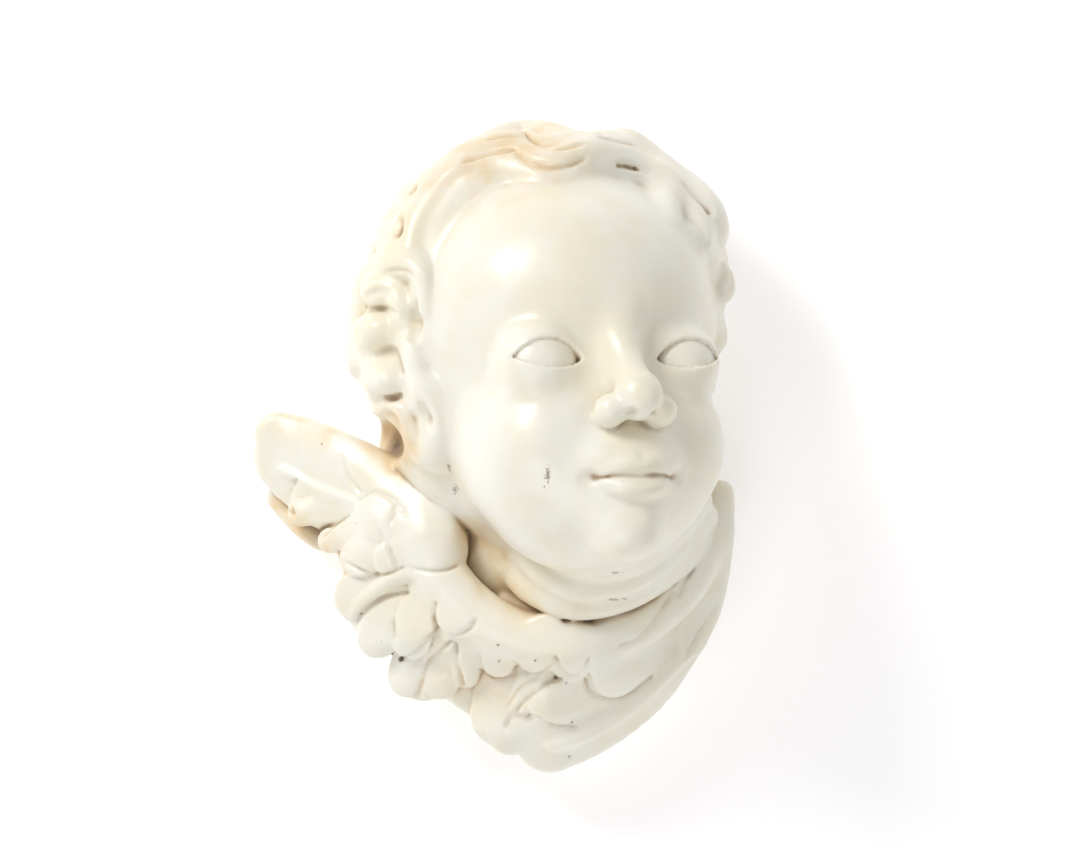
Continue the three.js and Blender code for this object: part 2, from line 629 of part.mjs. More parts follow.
// A leaf-shaped slab that stands on the wall, its top following the wing's surface.
function feather({ points, radii, lift = 0, camber = 1, rise = 1.5, edge = 1 }) {
  const rows = smoothRows(points.map((p, i) => [...p, radii[i]]), 4);
  return {
    low: [Math.min(...rows.map((r) => r[0] - r[2])), -75, Math.min(...rows.map((r) => r[1] - r[2]))],
    high: [Math.max(...rows.map((r) => r[0] + r[2])), WALL_OVERLAP,
      Math.max(...rows.map((r) => r[1] + r[2]))],
    distance(x, y, z) {
      let side = Infinity;
      let ratio = 0;
      let along = 0;
      for (let n = 0; n < rows.length - 1; n += 1) {
        const a = rows[n];
        const b = rows[n + 1];
        const ex = b[0] - a[0];
        const ez = b[1] - a[1];
        let t = ((x - a[0]) * ex + (z - a[1]) * ez) / (ex * ex + ez * ez + 1e-9);
        t = Math.min(Math.max(t, 0), 1);
        const off = Math.hypot(x - a[0] - ex * t, z - a[1] - ez * t);
        const width = a[2] + (b[2] - a[2]) * t;
        if (off - width < side) {
          side = off - width;
          ratio = off / width;
          along = (n + t) / (rows.length - 1);
        }
      }
      const top = wingDepth(x, z) + lift + rise * (along * 2 - 1)
        + camber * Math.max(1 - ratio * ratio, -0.5);
      const lean = UNDERCUT * Math.max(y + top - FEATHER_RIM, 0);
      return softMax(side + lean, -y - top, edge);
    },
  };
}

const FEATHERS = [
  { points: [[-86, -9], [-62, -28], [-52, -56], [-32, -78], [-8, -92], [10, -100], [34, -86], [56, -56],
    [66, -30]], radii: [12, 17, 17, 17, 20, 20, 17, 10, 4], lift: -3, camber: 0, rise: 0, edge: 5 },
  { points: [[-62, -32], [-76, -36.6], [-87, -31], [-95, -24]], radii: [8, 8, 7.4, 6], lift: -9,
    camber: 0, rise: 0 },
  { points: [[-45, -32], [-68, -22], [-84, -13], [-90.4, -9]], radii: [14, 18, 16.5, 15], lift: -0.5,
    camber: 1.5, rise: 0, edge: 3 },
  { points: [[-80, -8], [-96.4, -1.4]], radii: [10, 8.8], lift: -0.5, camber: 0.5, rise: 0, edge: 3 },
  { points: [[-60, -21], [-75, -27], [-87.5, -29.5]], radii: [6, 6, 5], lift: 0.8, camber: 1 },
  { points: [[-58, -30], [-69, -35.5], [-76.5, -39.5]], radii: [6.5, 5.5, 4.6], lift: 1.2, camber: 1 },
  { points: [[-50, -60], [-60.4, -66.4]], radii: [9, 9], lift: -2 },
  { points: [[-42, -52], [-56, -57], [-65, -60]], radii: [10, 11, 10], lift: -1, camber: 1 },
  { points: [[-48, -56], [-57, -66], [-59, -75]], radii: [7, 7.5, 7.5], lift: 0.2, camber: 1.2 },
  { points: [[-38, -54], [-44, -66], [-46.5, -75.5]], radii: [7, 7.6, 7.2], lift: 1.5, camber: 1.2 },
  { points: [[-38, -78], [-42.6, -88]], radii: [9, 10.4], lift: -2.5 },
  { points: [[-42, -76], [-47, -86], [-48, -89.5]], radii: [8, 8, 7.6], lift: -1.5 },
  { points: [[-31, -72], [-36, -84], [-36.5, -90]], radii: [6.5, 7.3, 7.6], lift: -0.5 },
  { points: [[-22, -74], [-26, -84], [-27, -88.5]], radii: [5.5, 5.5, 4.8], lift: 0.7 },
  { points: [[-10, -90], [-13.4, -103.6]], radii: [12, 12], lift: -2.5 },
  { points: [[-8, -82], [-14.4, -94], [-14.8, -103], [-11, -111]], radii: [7, 9.4, 9.2, 7.6], lift: -1,
    edge: 2.2 },
  { points: [[2, -82], [-3.4, -92], [-7, -99]], radii: [6, 6.2, 4.6], lift: 0.4, edge: 2.2 },
  { points: [[54, -78], [38, -95.5], [20, -106.5], [3.5, -112.8]], radii: [6, 9, 11.5, 12.4], lift: 0,
    camber: 1, rise: 0.5, edge: 2.5 },
  { points: [[66, -24], [64, -45], [60.5, -62], [55.5, -76]], radii: [4.5, 6.5, 7, 6], lift: 1,
    edge: 2 },
  { points: [[30, -84], [14, -94.6], [3, -98]], radii: [8, 8.4, 7.6], lift: 1.2, rise: 2, edge: 2.2 },
  { points: [[50, -66], [37, -81], [27, -88]], radii: [8, 8.6, 8.4], lift: 2.2, rise: 2 },
  { points: [[-50, -24], [-59, -31]], radii: [9, 8.5], lift: 2, rise: 1 },
  { points: [[-56, -40], [-65.5, -45.5]], radii: [8, 7.2], lift: 1.6, rise: 1 },
  { points: [[-46, -40], [-53, -46]], radii: [8, 7], lift: 2.4, rise: 1 },
  { points: [[-30.2, -58], [-30.2, -66.5]], radii: [6.5, 6.6], lift: 2.6, rise: 1 },
  { points: [[-10, -74], [-15, -83]], radii: [6, 6], lift: 1.5, rise: 1 },
  { points: [[12, -74], [11, -84.5]], radii: [6, 6], lift: 1.5, rise: 1 },
  { points: [[2, -72], [-1.5, -79.5]], radii: [7, 7], lift: 2.5, rise: 1 },
];

// The smooth leading edge of both wings, which lies round the neck like a collar.
const COLLAR = [[-92, -20, -2], [-75, -30, -8], [-58, -37, -18], [-44, -42, -29], [-39, -47, -39],
  [-36, -50, -51], [-24, -51, -65], [-6, -53, -74], [14, -53, -76], [32, -49, -71],
  [47, -42, -61.5], [58, -34, -49], [64.5, -26, -35], [67, -20, -22]];
const COLLAR_RADII = [5, 7, 9.5, 12, 13, 10, 10, 9.5, 9.5, 9, 8.2, 7, 5.5, 4];

// Raised quills: points as [x, z], radii, lift off the wing's surface and softness.
const QUILLS = [
  [[[-95, -14], [-89.5, -16.4], [-83, -20], [-75, -23], [-66, -26]], [1, 1.5, 1.6, 1.5, 1], 1, 2.5],
  [[[-46, -51], [-54, -53.5], [-60, -58], [-64.6, -61.7], [-67.5, -65.5]], [2.6, 2.8, 2.6, 2.4, 1.6],
    0.6, 2],
  [[[55, -79], [46, -87.5], [38, -94.5], [30, -101.5], [22, -106.6], [14, -110.4], [5, -114]], [2, 3,
    3.6, 3.8, 3.6, 3, 2], 1, 4],
];

function makeWings(clay) {
  for (const leaf of FEATHERS) {
    clay.add(feather(leaf), 0.8);
  }
  clay.cut(rope([[-14, -70, -8], [-6, -70, -30], [12, -70, -38], [34, -62, -30], [50, -50, -10]],
    [18, 25, 27, 25, 18]), 4);
  clay.add(rope(COLLAR, COLLAR_RADII), 4);
  for (const [points, radii, lift, blend] of QUILLS) {
    clay.add(rope(points.map(([x, z]) => [x, -wingDepth(x, z) - lift, z]), radii), blend);
  }
}

// The skin of the clay: each grid cube is split into six tetrahedra round one diagonal,
// which gives a closed surface in which every edge has exactly two faces.
const NODE_GAP = 0.08;
const TETRAHEDRA = [[0, 1, 3, 7], [0, 3, 2, 7], [0, 2, 6, 7], [0, 6, 4, 7], [0, 4, 5, 7], [0, 5, 1, 7]];

function skin(clay) {
  const [nx, ny, nz] = clay.size;
  const points = [];
  const faces = [];
  const made = new Map();
  const total = clay.field.length;

  function place(n) {
    const k = n % nz;
    const j = Math.floor(n / nz) % ny;
    const i = Math.floor(n / (nz * ny));
    return [i, j, k].map((v, axis) => clay.low[axis] + v * clay.cell);
  }

  function crossing(a, b) {
    const key = a < b ? a * total + b : b * total + a;
    if (!made.has(key)) {
      const fa = clay.field[a];
      const t = Math.min(Math.max(fa / (fa - clay.field[b]), NODE_GAP), 1 - NODE_GAP);
      const pa = place(a);
      const pb = place(b);
      made.set(key, points.length);
      points.push(pa.map((v, axis) => v + (pb[axis] - v) * t));
    }
    return made.get(key);
  }

  for (let i = 0; i < nx - 1; i += 1) {
    for (let j = 0; j < ny - 1; j += 1) {
      for (let k = 0; k < nz - 1; k += 1) {
        const cube = [0, 1, 2, 3, 4, 5, 6, 7].map((c) =>
          clay.index(i + (c & 1), j + ((c >> 1) & 1), k + ((c >> 2) & 1)));
        const insideCount = cube.filter((n) => clay.field[n] < 0).length;
        if (insideCount === 0 || insideCount === 8) {
          continue;
        }
        for (const corners of TETRAHEDRA) {
          const four = corners.map((c) => cube[c]);
          const inner = [0, 1, 2, 3].filter((c) => clay.field[four[c]] < 0);
          const outer = [0, 1, 2, 3].filter((c) => clay.field[four[c]] >= 0);
          if (inner.length === 0 || outer.length === 0) {
            continue;
          }
          const order = [...inner, ...outer];
          // an odd order of the corners turns the faces over
          let swaps = 0;
          for (let a = 0; a < 4; a += 1) {
            for (let b = a + 1; b < 4; b += 1) {
              swaps += order[a] > order[b] ? 1 : 0;
            }
          }
          const [p, q, r, s] = order.map((c) => four[c]);
          const sheet = [];
          if (inner.length === 1) {
            sheet.push([crossing(p, q), crossing(p, r), crossing(p, s)]);
          } else if (inner.length === 3) {
            sheet.push([crossing(p, s), crossing(q, s), crossing(r, s)]);
          } else {
            sheet.push([crossing(p, r), crossing(p, s), crossing(q, s)]);
            sheet.push([crossing(p, r), crossing(q, s), crossing(q, r)]);
          }
          for (const [a, b, c] of sheet) {
            faces.push(swaps % 2 ? [a, c, b] : [a, b, c]);
          }
        }
      }
    }
  }
  return { points, faces };
}

// A face may not turn further than this cosine nor get thinner than this share of its length.
const LEAST_TURN = 0.2;
const LEAST_SHAPE = 0.06;

// Thins a closed surface by joining the two ends of the edge that matters least, again and again.
// Each corner keeps the squared distances to the planes of its first faces as ten sums.
class Thinner {
  constructor(points, faces) {
    this.points = points;
    this.faces = faces.map((f) => [...f]);
    this.around = points.map(() => new Set());
    this.errors = points.map(() => new Float64Array(10));
    this.age = new Int32Array(points.length);
    this.heap = [];
    this.faces.forEach((face, n) => {
      face.forEach((v) => this.around[v].add(n));
      const normal = this.normal(face);
      const area = Math.hypot(...normal);
      const [a, b, c] = normal.map((v) => v / (area || 1));
      const p = points[face[0]];
      const d = -(a * p[0] + b * p[1] + c * p[2]);
      const terms = [a * a, a * b, a * c, a * d, b * b, b * c, b * d, c * c, c * d, d * d];
      face.forEach((v) => terms.forEach((term, i) => {
        this.errors[v][i] += term * area;
      }));
    });
  }

  normal([a, b, c], moved = -1, other = -1, place = null) {
    const [p, q, r] = [a, b, c].map((v) => (v === moved || v === other ? place : this.points[v]));
    const ux = q[0] - p[0];
    const uy = q[1] - p[1];
    const uz = q[2] - p[2];
    const vx = r[0] - p[0];
    const vy = r[1] - p[1];
    const vz = r[2] - p[2];
    return [uy * vz - uz * vy, uz * vx - ux * vz, ux * vy - uy * vx];
  }

  // The square of a face's longest edge.
  longest2(face, moved = -1, other = -1, place = null) {
    const corners = face.map((v) => (v === moved || v === other ? place : this.points[v]));
    return Math.max(...corners.map((p, i) => {
      const q = corners[(i + 1) % 3];
      return (p[0] - q[0]) ** 2 + (p[1] - q[1]) ** 2 + (p[2] - q[2]) ** 2;
    }));
  }

  neighbours(v) {
    const out = new Set();
    for (const n of this.around[v]) {
      for (const w of this.faces[n]) {
        if (w !== v) {
          out.add(w);
        }
      }
    }
    return out;
  }

  cost(e, [x, y, z]) {
    return e[0] * x * x + 2 * e[1] * x * y + 2 * e[2] * x * z + 2 * e[3] * x + e[4] * y * y
      + 2 * e[5] * y * z + 2 * e[6] * y + e[7] * z * z + 2 * e[8] * z + e[9];
  }

  // The place for the joined corner where the sum of squared distances is least.
  bestPlace(u, v) {
    const e = this.errors[u].map((value, i) => value + this.errors[v][i]);
    const middle = this.points[u].map((value, i) => (value + this.points[v][i]) / 2);
    const candidates = [middle, this.points[u], this.points[v]];
    const determinant = e[0] * (e[4] * e[7] - e[5] * e[5]) - e[1] * (e[1] * e[7] - e[5] * e[2])
      + e[2] * (e[1] * e[5] - e[4] * e[2]);
    const trace = e[0] + e[4] + e[7];
    if (Math.abs(determinant) > 1e-4 * trace ** 3) {
      const inverse = [
        [e[4] * e[7] - e[5] * e[5], e[2] * e[5] - e[1] * e[7], e[1] * e[5] - e[2] * e[4]],
        [e[5] * e[2] - e[1] * e[7], e[0] * e[7] - e[2] * e[2], e[2] * e[1] - e[0] * e[5]],
        [e[1] * e[5] - e[4] * e[2], e[1] * e[2] - e[0] * e[5], e[0] * e[4] - e[1] * e[1]],
      ];
      candidates.unshift(inverse.map((row) =>
        -(row[0] * e[3] + row[1] * e[6] + row[2] * e[8]) / determinant));
    }
    let best = candidates[0];
    let least = this.cost(e, best);
    for (const candidate of candidates) {
      const value = this.cost(e, candidate);
      if (value < least) {
        best = candidate;
        least = value;
      }
    }
    const length2 = this.points[u].reduce((sum, value, i) => sum + (value - this.points[v][i]) ** 2, 0);
    return { place: best, cost: Math.max(least, 0) + length2 * length2 * 1e-6 };
  }

  push(u, v) {
    const { place, cost } = this.bestPlace(u, v);
    const item = { u, v, place, cost, ageU: this.age[u], ageV: this.age[v] };
    const heap = this.heap;
    heap.push(item);
    let n = heap.length - 1;
    while (n > 0) {
      const parent = (n - 1) >> 1;
      if (heap[parent].cost <= heap[n].cost) {
        break;
      }
      [heap[parent], heap[n]] = [heap[n], heap[parent]];
      n = parent;
    }
  }

  pop() {
    const heap = this.heap;
    const top = heap[0];
    const last = heap.pop();
    if (heap.length > 0) {
      heap[0] = last;
      let n = 0;
      for (;;) {
        let child = 2 * n + 1;
        if (child >= heap.length) {
          break;
        }
        if (child + 1 < heap.length && heap[child + 1].cost < heap[child].cost) {
          child += 1;
        }
        if (heap[n].cost <= heap[child].cost) {
          break;
        }
        [heap[n], heap[child]] = [heap[child], heap[n]];
        n = child;
      }
    }
    return top;
  }

  // The surface stays closed if the two ends share just two neighbours, and no face turns over.
  allowed(u, v, place) {
    const near = this.neighbours(u);
    let shared = 0;
    for (const w of this.neighbours(v)) {
      shared += near.has(w) ? 1 : 0;
    }
    if (shared !== 2) {
      return false;
    }
    for (const n of new Set([...this.around[u], ...this.around[v]])) {
      const face = this.faces[n];
      if (face.includes(u) && face.includes(v)) {
        continue;
      }
      const before = this.normal(face);
      const after = this.normal(face, u, v, place);
      const dot = before[0] * after[0] + before[1] * after[1] + before[2] * after[2];
      if (dot < LEAST_TURN * Math.hypot(...before) * Math.hypot(...after)) {
        return false;
      }
      const shapeAfter = Math.hypot(...after) / this.longest2(face, u, v, place);
      const shapeBefore = Math.hypot(...before) / this.longest2(face);
      if (shapeAfter < LEAST_SHAPE && shapeAfter < shapeBefore) {
        return false;
      }
    }
    return true;
  }

  joinEdge(u, v, place) {
    let gone = 0;
    for (const n of [...this.around[v]]) {
      const face = this.faces[n];
      if (face.includes(u)) {
        face.forEach((w) => this.around[w].delete(n));
        this.faces[n] = null;
        gone += 1;
      } else {
        this.faces[n] = face.map((w) => (w === v ? u : w));
        this.around[u].add(n);
      }
    }
    this.around[v].clear();
    this.points[u] = place;
    for (let i = 0; i < 10; i += 1) {
      this.errors[u][i] += this.errors[v][i];
    }
    this.age[u] += 1;
    this.age[v] = -1;
    for (const w of this.neighbours(u)) {
      this.push(u, w);
    }
    return gone;
  }

  // Edges that were not allowed at first are tried again in the next round.
  run(target) {
    let count = this.faces.length;
    let before = Infinity;
    while (count > target && count < before) {
      before = count;
      for (let u = 0; u < this.points.length; u += 1) {
        for (const v of this.neighbours(u)) {
          if (u < v) {
            this.push(u, v);
          }
        }
      }
      while (count > target && this.heap.length > 0) {
        const { u, v, place, ageU, ageV } = this.pop();
        if (this.age[u] === ageU && this.age[v] === ageV && this.allowed(u, v, place)) {
          count -= this.joinEdge(u, v, place);
        }
      }
      this.heap.length = 0;
    }
    return this.faces.filter((face) => face !== null);
  }
}

function toSolid(geometry) {
  const merged = mergeVertices(geometry);
  return new wasm.Manifold(new wasm.Mesh({
    numProp: 3,
    vertProperties: merged.attributes.position.array,
    triVerts: new Uint32Array(merged.index.array),
  }));
}

function toGeometry(solid) {
  const mesh = solid.getMesh();
  const geometry = new THREE.BufferGeometry();
  geometry.setAttribute('position', new THREE.BufferAttribute(mesh.vertProperties, 3));
  geometry.setIndex(new THREE.BufferAttribute(mesh.triVerts, 1));
  return geometry;
}

// The largest closed body of a surface; specks shut in narrow gaps are dropped.
function largestBody(faces, pointCount) {
  const parent = Array.from({ length: pointCount }, (_, n) => n);
  const find = (n) => {
    let root = n;
    while (parent[root] !== root) {
      parent[root] = parent[parent[root]];
      root = parent[root];
    }
    return root;
  };
  for (const [a, b, c] of faces) {
    parent[find(b)] = find(a);
    parent[find(c)] = find(a);
  }
  const counts = new Map();
  for (const [a] of faces) {
    counts.set(find(a), (counts.get(find(a)) || 0) + 1);
  }
  const main = [...counts.entries()].sort((a, b) => b[1] - a[1])[0][0];
  return faces.filter(([a]) => find(a) === main);
}

function carve() {
  const wings = new Clay(BLOCK_LOW, BLOCK_HIGH, GRID_CELL);
  makeWings(wings);
  const body = new Clay(BLOCK_LOW, BLOCK_HIGH, GRID_CELL);
  makeHead(body);
  makeNeck(body);
  makeHair(body);
  body.join(wings, 1);
  body.cut({ low: BLOCK_LOW, high: BLOCK_HIGH, distance: (x, y) => WALL_OVERLAP - y }, 0);

  const { points, faces } = skin(body);
  const thinner = new Thinner(points, largestBody(faces, points.length));
  const kept = thinner.run(TRIANGLE_COUNT);
  const geometry = new THREE.BufferGeometry();
  geometry.setAttribute('position', new THREE.Float32BufferAttribute(thinner.points.flat(), 3));
  geometry.setIndex(kept.flat());

  const depth = 2 * WALL_OVERLAP;
  const saw = new THREE.BoxGeometry(400, depth, 400).translate(0, depth / 2, 0);
  saw.deleteAttribute('normal');
  saw.deleteAttribute('uv');
  return toGeometry(toSolid(geometry).subtract(toSolid(saw)));
}

const puttoHead = new THREE.Mesh(carve(), new THREE.MeshStandardMaterial(MARBLE));
puttoHead.name = 'putto_head';

const putto = new THREE.Group();
putto.add(puttoHead);

export default putto;
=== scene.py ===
"""Carved marble putto head with wings, to hang flat on a wall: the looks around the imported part."""

from itertools import product
from math import cos, pi, radians, sin, sqrt

import bpy
import numpy as np
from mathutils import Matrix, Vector


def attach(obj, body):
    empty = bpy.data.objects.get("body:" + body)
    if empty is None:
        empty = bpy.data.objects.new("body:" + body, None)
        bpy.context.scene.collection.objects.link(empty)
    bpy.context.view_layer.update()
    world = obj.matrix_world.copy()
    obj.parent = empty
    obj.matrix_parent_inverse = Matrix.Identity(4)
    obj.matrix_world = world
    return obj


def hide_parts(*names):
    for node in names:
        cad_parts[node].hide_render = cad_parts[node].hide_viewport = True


# Photograph and camera
MM_PER_PIXEL = 0.374
PHOTO_WIDTH = 1080
CAMERA_MM = 1400
SENSOR_MM = 36
# millimetres in a metre
METRE = 1000

# Fineness of the clay grid in millimetres, and the most triangles of the piece
FINE_CELL = 0.8
TRIANGLE_LIMIT = 190000

# Looks
MARBLE_PALE = (0.91, 0.885, 0.80)
MARBLE_WARM = (0.885, 0.835, 0.68)
PATINA_COLOUR = (0.82, 0.65, 0.42)
# brown of dirt and of painted shade in hollows and creases
DIRT_AND_SHADE_COLOUR = (0.44, 0.32, 0.20)
# near black for the deepest hollows, slots and pits: painted shade with some dirt
DEEP_SHADE_AND_DIRT_COLOUR = (0.12, 0.085, 0.06)
SPECK_COLOUR = (0.16, 0.12, 0.08)
MARBLE_ROUGHNESS = 0.26
# a speck reaches this many times its longer half into the marble
SPECK_DEPTH = 4
WALL_COLOUR = (0.93, 0.92, 0.925)
FLOOR_COLOUR = (0.85, 0.85, 0.84)
WALL_GLOW = 0.33
WORLD_STRENGTH = 0.38
# lights: name, place, size, power
LIGHTS = [
    ("key", (-0.95, -1, 1.05), 0.6, 15.7),
    ("fill", (1.1, -1.2, 0.3), 1, 3),
    ("low", (-0.5, -1.3, -0.8), 0.9, 4.3),
    ("back_left", (-1, 1.2, 0.6), 0.9, 8),
    ("back_right", (1, 1.2, 0.4), 0.9, 8),
]
LIGHT_AIM = (0, -0.04, 0)

FAR = 1000
CORNERS = list(product((0, 1), repeat=3))


def smooth_min(a, b, blend):
    if blend <= 0:
        return np.minimum(a, b)
    h = np.maximum(blend - np.abs(a - b), 0.0) / blend
    return np.minimum(a, b) - h * h * (blend * 0.25)


def smooth_max(a, b, blend):
    return -smooth_min(-a, -b, blend)


class Clay:
    """A block of clay as a grid of signed distances, in millimetres."""

    def __init__(self, low, high, cell):
        self.cell = cell
        self.axes = [np.arange(a, b + cell, cell, dtype=np.float32) for a, b in zip(low, high)]
        self.field = np.full([len(axis) for axis in self.axes], FAR, dtype=np.float32)

    def window(self, low, high, margin):
        spans = tuple(slice(*np.searchsorted(axis, (a - margin, b + margin)))
                      for axis, a, b in zip(self.axes, low, high))
        x, y, z = np.ix_(*(axis[span] for axis, span in zip(self.axes, spans)))
        return spans, x, y, z

    def change(self, shape, blend, joiner):
        low, high, distance = shape
        window, x, y, z = self.window(low, high, blend + 2 * self.cell)
        part = self.field[window]
        if part.size:
            self.field[window] = joiner(part, distance(x, y, z), blend)

    def sample(self, field, places):
        """The field's value at each place, blended between the eight grid nodes round it."""
        at = (places - np.array([axis[0] for axis in self.axes])) / self.cell
        first = np.clip(np.floor(at).astype(int), 0, np.array(field.shape) - 2)
        share = at - first
        total = np.zeros(len(places))
        for corner in CORNERS:
            a, b, c = np.abs(1 - np.array(corner) - share).T
            i, j, k = (first + corner).T
            total += a * b * c * field[i, j, k]
        return total

    def add(self, shape, blend=0.0):
        self.change(shape, blend, smooth_min)

    def cut(self, shape, blend=0.0):
        self.change(shape, blend, lambda a, b, k: smooth_max(a, -b, k))


# shapes: (low, high, distance function)
def egg(centre, radii):
    cx, cy, cz = centre
    rx, ry, rz = radii

    def distance(x, y, z):
        u, v, w = (x - cx) / rx, (y - cy) / ry, (z - cz) / rz
        size = np.sqrt(u * u + v * v + w * w)
        slope = np.sqrt((u / rx) ** 2 + (v / ry) ** 2 + (w / rz) ** 2) + 1e-6
        return size * (size - 1.0) / slope

    low = tuple(c - r for c, r in zip(centre, radii))
    high = tuple(c + r for c, r in zip(centre, radii))
    return low, high, distance


def ball(centre, radius):
    return egg(centre, (radius, radius, radius))


def spline(rows, steps):
    """Places and radii along a smooth curve through the given ones."""
    out = []
    for i in range(len(rows) - 1):
        a = rows[max(i - 1, 0)]
        b, c = rows[i:i + 2]
        d = rows[min(i + 2, len(rows) - 1)]
        for s in range(steps):
            t = s / steps
            out.append(tuple(
                0.5 * (2 * q + (r - p) * t + (2 * p - 5 * q + 4 * r - u) * t * t
                       + (3 * q - p - 3 * r + u) * t ** 3)
                for p, q, r, u in zip(a, b, c, d)))
    return out + [rows[-1]]


def rope(rows, steps=4):
    """A round rope of changing thickness along a smooth curve through rows of (x, y, z, radius)."""
    rows = spline(rows, steps)

    def distance(x, y, z):
        best = None
        for a, b in zip(rows, rows[1:]):
            ex, ey, ez = b[0] - a[0], b[1] - a[1], b[2] - a[2]
            length2 = ex * ex + ey * ey + ez * ez + 1e-9
            t = ((x - a[0]) * ex + (y - a[1]) * ey + (z - a[2]) * ez) / length2
            t = np.clip(t, 0.0, 1.0)
            gap = np.sqrt((x - a[0] - ex * t) ** 2 + (y - a[1] - ey * t) ** 2
                          + (z - a[2] - ez * t) ** 2) - (a[3] + (b[3] - a[3]) * t)
            best = gap if best is None else np.minimum(best, gap)
        return best

    low = tuple(min(r[i] - r[3] for r in rows) for i in range(3))
    high = tuple(max(r[i] + r[3] for r in rows) for i in range(3))
    return low, high, distance


class Pose:
    """Places head-local shapes: tipped back, then turned, then moved."""

    def __init__(self, origin, turn, tip, scale):
        self.origin = origin
        self.scale = scale
        self.cp, self.sp = cos(radians(turn)), sin(radians(turn))
        self.ct, self.st = cos(radians(tip)), sin(radians(tip))

    def out(self, p):
        x, y, z = [v * self.scale for v in p]
        y1 = y * self.ct + z * self.st
        z1 = -y * self.st + z * self.ct
        return (x * self.cp - y1 * self.sp + self.origin[0],
                x * self.sp + y1 * self.cp + self.origin[1],
                z1 + self.origin[2])

    def into(self, x, y, z):
        dx, dy, dz = x - self.origin[0], y - self.origin[1], z - self.origin[2]
        lx = dx * self.cp + dy * self.sp
        y1 = -dx * self.sp + dy * self.cp
        ly = y1 * self.ct - dz * self.st
        lz = y1 * self.st + dz * self.ct
        return lx / self.scale, ly / self.scale, lz / self.scale

    def place(self, shape):
        low, high, distance = shape
        corners = np.array([self.out(corner) for corner in product(*zip(low, high))])

        def turned(x, y, z):
            return distance(*self.into(x, y, z)) * self.scale

        return corners.min(axis=0), corners.max(axis=0), turned


def surface_nets(clay):
    """Mesh of the zero surface: one point per mixed cell, one quad per crossed edge."""
    f = clay.field
    inside = f < 0
    nx, ny, nz = f.shape
    # a cell is mixed where some of its corners lie inside and some outside
    total = np.zeros((nx - 1, ny - 1, nz - 1), dtype=np.int8)
    for i, j, k in CORNERS:
        total += inside[i:nx - 1 + i, j:ny - 1 + j, k:nz - 1 + k]
    mixed = (total > 0) & (total < len(CORNERS))
    cells = np.argwhere(mixed)
    index = np.full(mixed.shape, -1, dtype=np.int64)
    index[mixed] = np.arange(len(cells))
    sums = np.zeros((len(cells), 3))
    counts = np.zeros(len(cells))
    for a in CORNERS:
        for axis in range(3):
            if a[axis]:
                continue
            b = list(a)
            b[axis] = 1
            fa = f[tuple((cells + a).T)]
            fb = f[tuple((cells + b).T)]
            crossed = (fa < 0) != (fb < 0)
            fac = fa / np.where(crossed, fa - fb, 1.0)
            pos = np.zeros(sums.shape) + a
            pos[:, axis] += fac
            sums[crossed] += pos[crossed]
            counts[crossed] += 1
    verts = cells + sums / counts[:, None]
    origin = np.array([axis[0] for axis in clay.axes], dtype=float)
    verts = origin + verts * clay.cell
    quads = []
    for axis in range(3):
        b_axis, c_axis = (axis + 1) % 3, (axis + 2) % 3
        lo = [slice(1, n - 1) for n in f.shape]
        lo[axis] = slice(0, f.shape[axis] - 1)
        hi = list(lo)
        hi[axis] = slice(1, f.shape[axis])
        fa, fb = inside[tuple(lo)], inside[tuple(hi)]
        crossed = np.argwhere(fa != fb)
        start = np.array([1, 1, 1])
        start[axis] = 0
        flip = fa[fa != fb]
        edge = crossed + start
        ring = []
        for db, dc in ((0, 0), (-1, 0), (-1, -1), (0, -1)):
            e = edge.copy()
            e[:, b_axis] += db
            e[:, c_axis] += dc
            ring.append(index[tuple(e.T)])
        ring = np.stack(ring, axis=1)
        ring[~flip] = ring[~flip][:, ::-1]
        quads.append(ring)
    return verts, np.concatenate(quads)


# The block of clay, which reaches a little past the wall plane before the mesh is made flat there
LOW = (-112, -134, -132)
HIGH = (80, 5, 122)
WALL_OVERLAP = 4

# The head in its own frame: level, facing the viewer, with the eyes at height 0
HEAD_ORIGIN = (3.5, -45, 11)
HEAD_TURN = 22
HEAD_TIP = 13
HEAD_SCALE = 1.05

EYE_X = 25
EYE_Y = -53
EYEBALL_R = 12.6
LID_R = 14.2
EYE_HALF = 11.8
EYE_UP = 6.2
EYE_DOWN = 4.2
EYE_TILT = 0.05

CRANIUM_CENTRE = (0, 6, 22)
CRANIUM_RADII = (57.5, 68, 67)

# Forms of the face: add or cut, layout, and parts. A part has rows of (x, y, z, radius) for a rope,
# or one row with three radii for an egg, and a blend. An arch is given from the middle outwards.
FACE_FORMS = [
    # skull, forehead, middle of the face and jaw
    (Clay.add, "middle", [([CRANIUM_CENTRE + CRANIUM_RADII], 0), ([(0, -18, 28, 49, 52, 42)], 14),
                          ([(0, -26, -22, 39.5, 40, 40)], 14), ([(0, -34, -42, 33, 32, 22)], 10)]),
    # cheeks
    (Clay.add, "sides", [([(23, -36, -25, 21, 27, 22)], 11)]),
    # round the mouth, and chin
    (Clay.add, "middle", [([(0, -59, -36, 18, 13.5, 12)], 7), ([(0, -56, -55.5, 12, 12, 12)], 7)]),
    # hollows of the eyes, and their inner corners
    (Clay.cut, "sides", [([(EYE_X - 1, -79.5, 3, 16, 12, 9)], 11),
                         ([(11.5, -78.5, 0, 4.5, 4.5, 4.5)], 8)]),
]
